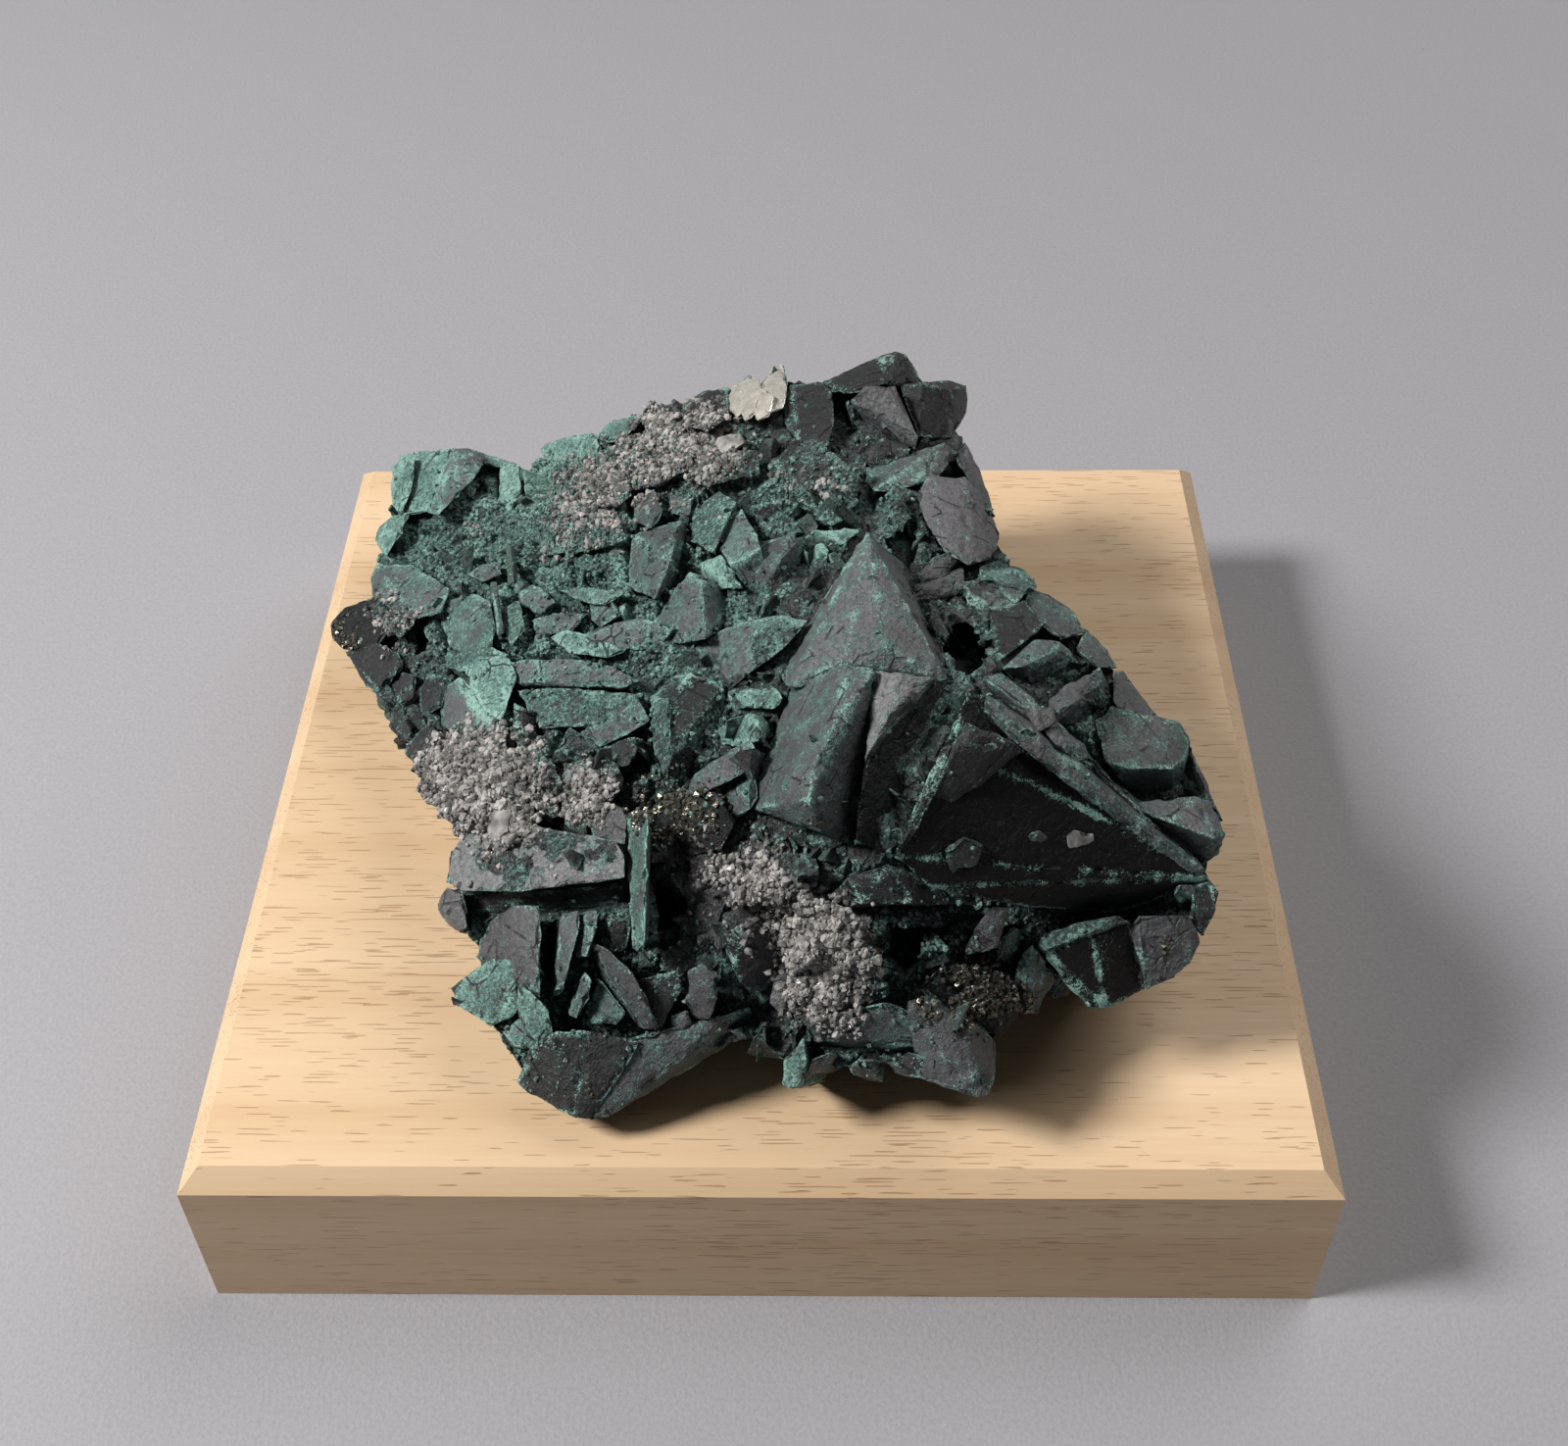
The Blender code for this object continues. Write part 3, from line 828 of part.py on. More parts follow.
def main():
    """Build the stand and the cluster."""
    noise.seed_set(SEED)
    for obj in list(bpy.data.objects):
        bpy.data.objects.remove(obj, do_unlink=True)
    scene = bpy.context.scene
    parts = bpy.data.collections.new("tennantite")
    grown = bpy.data.collections.new("grown_crystals")
    hollows = bpy.data.collections.new("hollows")
    for collection in (parts, grown, hollows):
        scene.collection.children.link(collection)
    stand = make_stand(parts)
    stand.data.materials.append(make_material("pale_wood", WOOD_COLOUR, WOOD_ROUGHNESS, 0.0))
    rock = make_rock(parts)
    stone = make_material("tennantite_grey", STONE_COLOUR, STONE_ROUGHNESS, STONE_METALLIC)
    rock.data.materials.append(stone)
    for name, depth, corners in HOLLOWS:
        make_hollow(name, depth, corners, hollows)
    crystals = [new_object(name, hull_of(crystal_points(depth, corners)), grown)
                for name, depth, corners in CRYSTALS]
    crystals += [make_crust(name, depth, corners, grown) for name, depth, corners in CRUSTS]
    rng = random.Random(SEED)
    add_seen_small(rng, rock, crystals, grown)
    add_hidden_small(rng, rock, grown)
    cut = rock.modifiers.new("hollows", "BOOLEAN")
    cut.operation = "DIFFERENCE"
    cut.solver = "EXACT"
    cut.operand_type = "COLLECTION"
    cut.collection = hollows
    join = rock.modifiers.new("grown_crystals", "BOOLEAN")
    join.operation = "UNION"
    join.solver = "EXACT"
    join.operand_type = "COLLECTION"
    join.collection = grown
    flat = rock.modifiers.new("flat_faces", "DECIMATE")
    flat.decimate_type = "DISSOLVE"
    flat.angle_limit = FLAT_FACE_ANGLE
    for collection in (grown, hollows):
        collection.hide_render = True
        for obj in collection.objects:
            obj.hide_render = True
            obj.display_type = "WIRE"


main()
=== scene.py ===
"""Looks of a tennantite specimen standing on its square wooden stand.

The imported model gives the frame: the wooden block, and the cluster of grown crystals. This script dresses
both. Every crystal that can be seen is built again as its own sharp solid from the same named corners as
in the model, with worn edges, a rough skin and a crust of green copper salts. What lies between and
behind them is a finely divided copy of the model's own surface, and drusy quartz grows on top.

All sizes are in millimetres until a mesh is finished, and then in metres.
"""

import json
import logging
import math
import random
from collections.abc import Callable
from dataclasses import dataclass, field
from enum import Enum

import bmesh
import bpy
import numpy as np
from mathutils import Matrix, Vector, noise
from mathutils.bvhtree import BVHTree
from mathutils.kdtree import KDTree

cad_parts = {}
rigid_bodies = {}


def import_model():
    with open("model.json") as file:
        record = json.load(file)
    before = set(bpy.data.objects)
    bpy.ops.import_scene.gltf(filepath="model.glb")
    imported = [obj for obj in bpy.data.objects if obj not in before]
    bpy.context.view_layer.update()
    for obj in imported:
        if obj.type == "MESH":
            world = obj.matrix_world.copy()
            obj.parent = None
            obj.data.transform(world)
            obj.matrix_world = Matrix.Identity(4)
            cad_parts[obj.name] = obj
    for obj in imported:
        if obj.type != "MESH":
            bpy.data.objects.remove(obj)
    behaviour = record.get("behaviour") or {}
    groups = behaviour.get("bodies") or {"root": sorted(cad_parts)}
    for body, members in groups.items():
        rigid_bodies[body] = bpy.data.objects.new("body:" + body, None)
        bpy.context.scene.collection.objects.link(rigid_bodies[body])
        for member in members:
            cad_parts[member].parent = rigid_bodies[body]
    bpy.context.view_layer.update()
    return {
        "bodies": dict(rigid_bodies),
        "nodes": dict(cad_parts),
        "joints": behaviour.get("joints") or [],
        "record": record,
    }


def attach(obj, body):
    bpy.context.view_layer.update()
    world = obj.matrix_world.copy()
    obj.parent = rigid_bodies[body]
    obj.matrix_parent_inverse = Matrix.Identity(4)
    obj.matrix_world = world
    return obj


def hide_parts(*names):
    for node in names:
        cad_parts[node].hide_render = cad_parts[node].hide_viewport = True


LOG = logging.getLogger("tennantite")

MM = 0.001
BODY = "root"
CLUSTER = "tennantite_cluster"
STAND = "wooden_stand"

# Camera of the photograph, in pixels of the 1600 by 1475 picture, millimetres and degrees
PICTURE_WIDTH = 1600.0
FOCAL_PIXELS = 2034.0
CENTRE_U = 800.0
CENTRE_V = 737.5
CAMERA_PLACE = Vector((5.0, -141.7, 166.0))
CAMERA_PITCH = math.radians(45.04)
CAMERA_YAW = math.radians(1.34)
CAMERA_ROLL = math.radians(-0.94)
SENSOR_WIDTH = 36.0

# How a crystal runs on into the rock, as in the model
UNDERSIDE_HEIGHT = 18.8
SINK_TAPER = 0.42
SINK_LEAN = 0.45

# Seed of the noise that tilts crystals into the rock, as in the model
NOISE_SEED = 57


class Finish(Enum):
    """The skin of a crystal: share of green crust, darkness from -1 to 1, and brightness of its edges. The
    darkness is partly painted: dark and black faces are darkened for the shade they stand in, and the lit
    finish is lightened as painted highlight.
    """

    LILAC = (0.14, 0.0, 0.9)
    DUSTED = (0.34, 0.05, 1.0)
    GREEN = (0.60, 0.0, 1.1)
    MOSS = (0.48, 0.45, 0.6)
    # painted shade, partly real: these faces are darkened for the shade they stand in, turned from the key
    # lamp
    DARK_AND_SHADED = (0.10, 0.72, 1.5)
    BLACK_AND_SHADED = (0.03, 1.0, 2.7)
    SULPHIDE = (0.08, 0.9, 0.2)
    # painted highlight: a lighter grey for faces that the key lamp lights
    PAINTED_LIT = (0.16, -0.42, 0.9)
    PALE = (0.12, -0.5, 0.2)
    QUARTZ = (0.02, 0.0, 0.0)

    def __init__(self, crust: float, darkness: float, edges: float) -> None:
        """Keep the three numbers by name.

        Args:
            crust: Share of green crust.
            darkness: 1 for nearly black, -1 for pale; above zero partly painted shade, and for the lit
                finish painted highlight.
            edges: How bright the thin edges are.
        """
        self.crust = crust
        self.darkness = darkness
        self.edges = edges


# Bed: height in mm above the table of the specimen's general surface, at pixels u, v
BED = [
    (399, 480, 30), (480, 457, 34), (564, 480, 32), (600, 441, 38), (660, 415, 42), (735, 393, 45),
    (775, 382, 46), (910, 358, 51), (970, 400, 48), (1003, 490, 46), (1022, 550, 45), (1080, 600, 44),
    (1125, 655, 43), (1160, 715, 41), (1215, 755, 39), (1250, 850, 38), (1242, 905, 36), (1225, 960, 33),
    (1170, 1010, 30), (1110, 1030, 28), (1070, 1000, 29), (1050, 1035, 28), (1015, 1060, 28),
    (1005, 1118, 27), (960, 1100, 27), (900, 1100, 26), (805, 1112, 25), (760, 1065, 27), (700, 1090, 24),
    (605, 1143, 21.5), (530, 1105, 22), (500, 1050, 25), (460, 1010, 26), (478, 970, 28), (445, 922, 28),
    (455, 890, 31), (465, 838, 32), (430, 800, 31), (412, 765, 30), (403, 745, 29), (400, 705, 28),
    (372, 700, 25), (338, 635, 27), (375, 590, 29), (387, 550, 30), (885, 560, 50), (980, 700, 51),
    (800, 700, 46), (911, 874, 44), (1139, 933, 34), (650, 700, 40), (640, 560, 42), (740, 550, 46),
    (600, 900, 35), (840, 980, 34), (820, 830, 45), (700, 850, 40), (1080, 760, 48), (1180, 820, 40),
    (480, 600, 34), (540, 700, 37), (500, 800, 34), (660, 1000, 31), (960, 960, 37), (840, 440, 48),
]

# Crystals in their groups: name, depth in mm behind what is seen, finish, and corners u, v, rise above
# the bed in mm
GROUPS = {
    "centre": [
        ("great_tetrahedron", 9.0, Finish.DUSTED, [(885, 541, 5), (822, 640, -0.5), (797, 692, -0.5),
            (803, 702, 1.5), (836, 690, 1.2), (862, 674, 2), (905, 660, 2), (968, 694, -1),
            (955, 625, -6), (940, 590, -6)]),
        ("centre_wedge", 8.0, Finish.DUSTED, [(893, 682, 3.5), (862, 674, 3), (806, 704, 0),
            (770, 800, -0.5), (769, 826, 0), (826, 816, 4.5), (828, 786, 4.8), (852, 738, 4.6),
            (838, 850, 1.5), (872, 862, -3), (884, 775, -4)]),
        ("centre_block", 8.0, Finish.DARK_AND_SHADED, [(893, 684, 2.2), (916, 684, 3), (882, 784, 1), (958, 690, 0),
            (980, 710, -3.2), (965, 784, -4.5), (945, 822, -4), (911, 872, -2.7), (872, 862, 0)]),
        ("block_lit_facet", 6.0, Finish.PAINTED_LIT, [(893, 684, 2.6), (918, 686, 3.2), (958, 690, 1.4),
            (930, 704, 2.2), (905, 735, 2.2), (881, 778, 1.6)]),
        ("great_triangle", 9.0, Finish.BLACK_AND_SHADED, [(984, 710, 4.2), (974, 762, 3.8), (950, 812, 3.2),
            (911, 874, 3), (1010, 706, 3.6), (1065, 735, 2), (1149, 820, 1.6), (1228, 884, 1.2),
            (1235, 897, 0.6), (1139, 933, 0.3), (1040, 925, 2), (948, 905, 2.4)]),
        ("ridge_strip", 6.0, Finish.DUSTED, [(1008, 706, 3.9), (1040, 735, 3.2), (1062, 752, 2.9),
            (1118, 800, 2.4), (1160, 838, 2), (1200, 868, 1.7), (1232, 890, 1.2), (1222, 898, 0.9),
            (1185, 876, 1.4), (1140, 840, 1.9), (1100, 808, 2.3), (1060, 778, 2.7), (1030, 752, 3.2),
            (1000, 722, 3.8)]),
        ("triangle_cap", 6.0, Finish.DARK_AND_SHADED, [(978, 760, 4.8), (985, 736, 5), (1038, 757, 4.6),
            (1047, 767, 3.8), (1020, 783, 3.4), (985, 813, 3), (950, 828, 2.6), (953, 803, 3.6)]),
        ("triangle_side", 3.0, Finish.DARK_AND_SHADED, [(962, 762, 3.9), (974, 758, 4.3), (958, 806, 3.7),
            (930, 858, 3.3), (912, 875, 3.2), (922, 846, 3.3), (946, 800, 3.5)]),
        ("pale_pair", 6.0, Finish.PALE, [(1087, 852, 3), (1096, 846, 3.2), (1116, 850, 3),
            (1118, 864, 2.8), (1104, 870, 2.8), (1090, 866, 2.8)]),
        ("pale_pair_low", 3.0, Finish.PALE, [(1097, 868, 2.9), (1108, 868, 3), (1109, 880, 2.8),
            (1099, 882, 2.7)]),
        ("pale_pair_right", 3.0, Finish.PALE, [(1122, 872, 2.4), (1138, 868, 2.6), (1150, 880, 2.2),
            (1146, 896, 2), (1128, 892, 2.1)]),
        ("face_lump_a", 3.0, Finish.MOSS, [(1046, 852, 2.6), (1060, 846, 2.8), (1072, 856, 2.6),
            (1064, 868, 2.5), (1050, 866, 2.4)]),
        ("face_lump_b", 3.0, Finish.DARK_AND_SHADED, [(1072, 884, 2.3), (1090, 880, 2.4), (1100, 892, 2.3),
            (1084, 902, 2.2)]),
        ("face_lump_c", 3.0, Finish.MOSS, [(962, 868, 3), (985, 852, 3.2), (1006, 862, 3),
            (996, 884, 2.7), (972, 892, 2.6)]),
    ],
    "right_of_centre": [
        ("upper_slab", 7.0, Finish.DUSTED, [(1000, 690, 0.5), (1022, 684, 1.6), (1045, 705, 1.8),
            (1068, 738, 1.6), (1112, 766, 1.6), (1146, 810, 1.2), (1150, 822, -0.5), (1060, 748, -2)]),
        ("slab_facet", 9.0, Finish.LILAC, [(1062, 742, 2.4), (1085, 744, 2.6), (1108, 760, 2.4),
            (1112, 775, 2.2), (1098, 778, 2), (1080, 762, 2.2)]),
        ("upper_wedge", 6.0, Finish.DUSTED, [(1022, 682, 1.5), (1056, 652, 2.6), (1082, 652, 3),
            (1102, 676, 1), (1078, 697, -2.5), (1058, 708, -3), (1042, 700, -2.5), (1044, 680, 2.5),
            (1078, 662, 3.2)]),
        ("lilac_wedge", 6.0, Finish.LILAC, [(1068, 716, 1.5), (1080, 702, 2.2), (1122, 680, 2.4),
            (1128, 694, 2.6), (1095, 718, 3), (1068, 739, 1.6), (1136, 708, -2), (1118, 738, -3),
            (1082, 743, -2)]),
        ("right_block", 7.0, Finish.DUSTED, [(1118, 735, 0), (1132, 719, 1), (1156, 742, 2.2),
            (1188, 735, 2.6), (1202, 736, 2.2), (1215, 760, 2), (1208, 776, 2.8), (1196, 784, 3.4),
            (1152, 784, 2.8), (1138, 790, 1.5), (1126, 776, 1), (1206, 800, -2), (1198, 813, -3),
            (1160, 820, -3), (1148, 802, -1.5)]),
        ("right_wedge", 7.0, Finish.DUSTED, [(1149, 822, 1.2), (1170, 817, 1.6), (1222, 811, 2.4),
            (1234, 816, 1.5), (1248, 838, 0.8), (1251, 851, 1.2), (1240, 856, 2.6), (1192, 839, 2.8),
            (1244, 872, -2), (1226, 879, -3), (1203, 871, -3), (1180, 850, -2)]),
        ("outer_shard", 9.0, Finish.LILAC, [(1216, 762, 0.8), (1222, 785, 1), (1236, 815, 0.8),
            (1249, 840, 0), (1210, 790, -1), (1212, 812, -1), (1205, 745, 0)]),
        ("rim_shard_a", 10.0, Finish.DUSTED, [(1050, 600, 0.5), (1076, 612, 0.5), (1096, 625, 0.4),
            (1108, 645, 0.8), (1085, 652, 1.5), (1060, 636, 1.5), (1046, 616, 1)]),
        ("rim_shard_b", 11.0, Finish.DUSTED, [(1108, 641, 0.4), (1126, 655, 0.3), (1142, 682, 0.3),
            (1120, 681, 1.2), (1098, 662, 1.2)]),
        ("rim_shard_c", 9.0, Finish.LILAC, [(1136, 684, 0.6), (1146, 684, 0.3), (1160, 716, 0.3),
            (1185, 735, 0.3), (1155, 738, 1.5), (1136, 716, 1.5)]),
        ("grey_plate", 6.0, Finish.DUSTED, [(982, 594, 1), (1000, 588, 1.8), (1036, 591, 2),
            (1046, 606, 1.8), (1038, 616, 1.5), (1018, 624, 0.2), (990, 626, -1.5), (984, 610, 0)]),
        ("plate_ledge", 5.0, Finish.GREEN, [(998, 578, 1), (1040, 584, 0.5), (1060, 600, 0.4),
            (1045, 606, 1.5), (1000, 592, 2)]),
        ("below_plate", 6.0, Finish.DARK_AND_SHADED, [(1010, 622, 0.5), (1045, 612, 1.5), (1070, 636, 1.5),
            (1040, 650, -1), (1018, 676, 0), (1012, 650, -2)]),
        ("lilac_splinter_a", 4.0, Finish.LILAC, [(934, 586, 0.5), (952, 568, 1.4), (976, 560, 1.6),
            (980, 574, 1), (962, 591, 0.4), (940, 597, -0.5)]),
        ("lilac_splinter_b", 4.0, Finish.LILAC, [(930, 602, 0), (965, 590, 0.8), (984, 580, 1),
            (985, 600, 0.2), (955, 616, -1.5), (932, 616, -1)]),
        ("cracked_flat", 7.0, Finish.LILAC, [(935, 498, 0.5), (950, 484, 1.5), (985, 486, 2),
            (1004, 505, 1), (1014, 530, 0.8), (1022, 550, 0.5), (1012, 570, 1), (988, 577, 1.6),
            (962, 560, 1.5), (942, 530, 0.5)]),
        ("cracked_edge", 10.0, Finish.LILAC, [(985, 450, 0), (1000, 480, 0), (1012, 510, 0),
            (1016, 530, 0), (1003, 520, 1.2), (985, 482, 1.5), (975, 462, 1)]),
    ],
    "back_right": [
        ("peak_crystal", 12.0, Finish.DARK_AND_SHADED, [(838, 390, 0), (870, 380, 0.5), (900, 362, 0.8),
            (914, 357, 0.6), (926, 362, 0.3), (936, 380, 0), (939, 392, 0), (918, 392, 1), (900, 392, 2),
            (866, 402, 1.5), (846, 400, 0)]),
        ("three_sided_face", 6.0, Finish.LILAC, [(866, 408, 1.5), (880, 394, 2), (914, 393, 2.4),
            (938, 446, 1.5), (934, 460, 0), (905, 440, -1.5), (880, 428, -1)]),
        ("back_dark_block", 8.0, Finish.DARK_AND_SHADED, [(916, 392, 0.5), (940, 390, 1.6), (972, 398, 0.4),
            (970, 425, -0.5), (972, 446, -1), (948, 453, -1), (938, 446, 0.5)]),
        ("back_ledge", 6.0, Finish.DUSTED, [(885, 478, 0), (930, 470, 1), (965, 450, 1.4), (978, 462, 1),
            (958, 486, 0.8), (932, 496, 1), (892, 502, 1), (882, 492, 0)]),
        ("back_small_block", 5.0, Finish.DARK_AND_SHADED, [(876, 466, 0.5), (895, 452, 1.5), (930, 458, 1.2),
            (925, 468, 0.5), (892, 478, 0)]),
        ("back_lump", 6.0, Finish.DARK_AND_SHADED, [(806, 392, 0.2), (840, 388, 0.4), (850, 402, 0.6), (852, 430, 1),
            (845, 455, 0.5), (815, 455, 0.5), (800, 430, 0), (800, 405, 0)]),
    ],
    "middle": [
        ("grey_cube", 6.0, Finish.DUSTED, [(738, 525, 0), (757, 519, 1.2), (773, 545, 2.6),
            (776, 560, 2.8), (760, 570, 2.8), (744, 576, 2), (735, 560, 0.8), (766, 586, -1.5),
            (790, 622, -2.5), (768, 620, -2.5)]),
        ("square_face", 6.0, Finish.DARK_AND_SHADED, [(762, 516, 1), (800, 508, 1.6), (816, 513, 1), (818, 538, -3),
            (786, 550, -3), (774, 540, -1.5)]),
        ("split_cube", 6.0, Finish.LILAC, [(778, 552, 0.5), (804, 543, 1.2), (814, 552, 1.6),
            (796, 570, 2.4), (778, 578, 2), (768, 585, 1), (780, 602, 0.5), (800, 616, -1.8),
            (822, 596, -3), (832, 565, -3)]),
        ("grey_facet_a", 10.0, Finish.LILAC, [(646, 508, 1), (668, 500, 1.8), (677, 520, 2),
            (664, 540, 1.6), (648, 532, 1)]),
        ("grey_facet_b", 10.0, Finish.LILAC, [(680, 503, 1), (706, 508, 1.6), (704, 526, 1.6),
            (684, 524, 1.2)]),
        ("green_slope", 9.0, Finish.MOSS, [(706, 520, 0.9), (735, 500, 1.8), (752, 512, 1.6),
            (738, 540, 1.8), (728, 566, 1.4), (704, 552, 0.8)]),
        ("thin_blade_mid", 5.0, Finish.GREEN, [(832, 556, 1), (840, 553, 1.2), (846, 560, 1),
            (840, 590, -1), (828, 602, -1.5), (826, 585, -1)]),
        ("tail_face", 5.0, Finish.GREEN, [(830, 540, 1), (882, 538, 1.8), (862, 556, 0), (838, 560, -1.5),
            (818, 552, -1)]),
        ("small_tetra_left", 7.0, Finish.LILAC, [(645, 545, 0.5), (690, 540, 2.4), (697, 529, 2),
            (684, 572, 3), (668, 612, 2.4), (640, 600, 0), (706, 548, -2.5), (700, 586, -3),
            (676, 608, -2.5)]),
        ("small_tetra_mid", 7.0, Finish.LILAC, [(703, 582, 2), (716, 592, 2.8), (720, 652, 2.4),
            (690, 658, 0.5), (664, 640, 0), (680, 610, 0.8), (742, 596, -1), (752, 606, -2),
            (750, 632, -3), (736, 644, -2.5)]),
        ("green_spur", 5.0, Finish.GREEN, [(708, 575, 0.5), (735, 564, 1.6), (746, 590, 1.6),
            (760, 601, 1), (728, 602, 0)]),
        ("under_mid_plate", 6.0, Finish.DUSTED, [(720, 650, 0.5), (745, 638, 1.2), (790, 625, 1.5),
            (826, 632, 1.4), (800, 660, 1), (760, 662, 0.5), (748, 700, 0), (722, 690, -0.5),
            (700, 668, -0.5)]),
        ("brown_crystal", 7.0, Finish.DARK_AND_SHADED, [(690, 688, 1), (705, 686, 1.5), (738, 700, 0),
            (740, 718, -1), (728, 746, -2), (712, 786, -2), (700, 798, -1), (676, 790, 2), (668, 740, 2),
            (665, 712, 1), (682, 715, 2.8), (684, 770, 2.8)]),
        ("brown_rim", 6.0, Finish.MOSS, [(664, 712, 1.6), (682, 712, 3.2), (685, 772, 3.2),
            (678, 796, 2.4), (668, 770, 2), (664, 740, 2)]),
        ("green_wedge_mid", 6.0, Finish.GREEN, [(731, 745, 0), (745, 732, 0.8), (770, 726, 1.8),
            (776, 742, 2.2), (774, 757, 2), (750, 762, 0.5), (736, 760, 0), (790, 735, -2),
            (788, 752, -2)]),
        ("strip_crystal", 6.0, Finish.DUSTED, [(691, 810, -0.5), (702, 793, 0.5), (745, 764, 1.6),
            (766, 755, 2), (773, 766, 2), (766, 786, 1.2), (745, 797, 1), (712, 812, 0)]),
        ("strip_crystal_low", 5.0, Finish.DUSTED, [(740, 805, -1), (770, 786, 0.5), (770, 812, 1),
            (766, 826, 0.5), (748, 838, -1)]),
        ("mid_bar", 5.0, Finish.GREEN, [(764, 700, 0), (792, 700, 1), (800, 712, 1), (790, 724, 0.5),
            (748, 722, -1), (740, 705, -0.5)]),
    ],
    "middle_left": [
        ("lens_a", 7.0, Finish.LILAC, [(474, 586, 0.5), (494, 574, 1.6), (510, 576, 1.6), (513, 586, 1),
            (492, 594, 1)]),
        ("lens_b", 7.0, Finish.LILAC, [(570, 602, 0.8), (600, 599, 1.8), (640, 604, 1.6), (615, 618, 1.8),
            (592, 614, 1.2)]),
        ("lens_c", 5.0, Finish.LILAC, [(582, 656, 0.5), (626, 636, 2), (658, 632, 2.2), (692, 640, 1.6),
            (680, 657, 0.8), (640, 664, 1), (606, 662, 0.8)]),
        ("lens_d", 6.0, Finish.GREEN, [(560, 650, 0.6), (580, 640, 1.4), (600, 650, 1.4), (640, 664, 1.6),
            (620, 672, 1.2), (580, 666, 0.8)]),
        ("long_lens", 9.0, Finish.LILAC, [(495, 690, 0.9), (530, 672, 1.9), (580, 670, 2.4),
            (620, 677, 2.5), (655, 694, 2), (640, 702, 1.5), (600, 701, 1.3), (545, 696, 1.2),
            (510, 700, 0.8)]),
        ("granular_wall", 6.0, Finish.MOSS, [(527, 704, 1), (570, 702, 1.6), (620, 706, 1.6),
            (652, 708, 1.4), (650, 738, 0.6), (600, 742, 0.4), (550, 742, 0.4)]),
        ("lens_e", 7.0, Finish.LILAC, [(530, 602, 0.5), (556, 601, 1.4), (568, 614, 1), (552, 628, 0),
            (534, 620, 0.2)]),
        ("lens_f", 8.0, Finish.LILAC, [(540, 632, 0.3), (575, 622, 1.4), (600, 625, 1.2), (580, 645, 0.5),
            (548, 648, 0)]),
        ("lens_g", 7.0, Finish.LILAC, [(602, 612, 0.5), (622, 606, 1.6), (634, 628, 1.2), (612, 640, 0.5),
            (600, 630, 0.5)]),
        ("left_big_face", 6.0, Finish.DUSTED, [(455, 612, 1.2), (480, 604, 1.8), (500, 612, 2),
            (506, 640, 1.8), (500, 664, 1.4), (478, 672, 1), (458, 660, 0.6), (450, 636, 0.5)]),
        ("green_leaf_left", 6.0, Finish.MOSS, [(452, 668, 0.8), (478, 664, 1.6), (505, 660, 2),
            (520, 668, 1.6), (500, 682, 1.2), (470, 686, 1), (454, 682, 0.6)]),
        ("green_leaf_upper", 6.0, Finish.MOSS, [(514, 618, 1), (530, 612, 1.8), (536, 640, 1.6),
            (522, 660, 1.2), (512, 644, 1)]),
        ("thin_upright_a", 4.0, Finish.GREEN, [(515, 556, 2.4), (522, 556, 2.6), (526, 596, 2.2),
            (518, 598, 2)]),
        ("thin_upright_b", 4.0, Finish.GREEN, [(500, 594, 2.6), (507, 592, 2.8), (515, 646, 2),
            (508, 650, 1.8)]),
        ("lilac_plate_left", 6.0, Finish.LILAC, [(450, 722, 0.5), (454, 700, 1), (470, 688, 1.8),
            (486, 720, 2), (517, 741, 2.2), (516, 772, 1.2), (496, 757, 1), (468, 752, 0.6),
            (452, 741, 0.4)]),
        ("ring_plate", 7.0, Finish.GREEN, [(474, 686, 1.6), (487, 668, 2), (520, 668, 2), (528, 690, 1.6),
            (508, 708, 2.2), (512, 736, 2.4), (494, 728, 2.4), (482, 704, 2.2)]),
        ("dark_plate_left", 5.0, Finish.DARK_AND_SHADED, [(524, 716, 1.8), (536, 722, 1.8), (552, 728, 0),
            (550, 762, -1), (530, 768, 0.5), (521, 745, 1.8)]),
        ("three_corner", 5.0, Finish.DUSTED, [(581, 741, 3), (559, 780, 1.5), (566, 787, 0),
            (600, 776, -1), (623, 766, -0.5), (602, 755, 1.2)]),
        ("small_block_left", 5.0, Finish.DARK_AND_SHADED, [(616, 762, 1), (632, 754, 2), (648, 750, 2.4),
            (650, 766, 2.4), (641, 781, 2), (624, 784, 1), (662, 760, -1.5), (658, 776, -1.5)]),
        ("green_back_mid", 6.0, Finish.DUSTED, [(590, 748, 0.8), (625, 730, 1.6), (652, 714, 1.8),
            (664, 735, 1.6), (640, 750, 1.2), (612, 762, 0.8)]),
        ("facet_by_strip", 6.0, Finish.LILAC, [(600, 842, 1.2), (622, 820, 2), (641, 826, 2.2),
            (638, 862, 1.6), (606, 858, 1)]),
        ("cream_block", 4.0, Finish.PALE, [(490, 838, 2), (505, 826, 2.8), (522, 824, 3), (520, 850, 2.4),
            (508, 858, 1.8)]),
    ],
    "left_lobe": [
        ("left_tip", 10.0, Finish.SULPHIDE, [(338, 635, 0), (352, 619, 0.4), (372, 612, 0.6),
            (392, 612, 1), (400, 640, 2), (372, 668, 1), (352, 664, 0), (340, 652, 0)]),
        ("left_tip_low", 6.0, Finish.DARK_AND_SHADED, [(352, 665, 0.5), (385, 655, 2), (405, 665, 2),
            (412, 680, 1.5), (400, 692, 0.6), (386, 706, 0.5), (372, 700, 0.2), (364, 684, 0.2)]),
        ("left_roof", 9.0, Finish.DUSTED, [(378, 590, 0), (384, 575, 0.3), (420, 575, 1), (460, 600, 1.5),
            (450, 625, 2.5), (420, 632, 3), (400, 615, 2), (380, 612, 0.5)]),
        ("left_small_a", 5.0, Finish.DARK_AND_SHADED, [(400, 700, 0), (410, 686, 1), (424, 688, 1.5), (422, 712, 1),
            (408, 720, 0.2)]),
        ("left_small_b", 9.0, Finish.DARK_AND_SHADED, [(403, 745, 0.2), (414, 734, 0.8), (421, 748, 0.8),
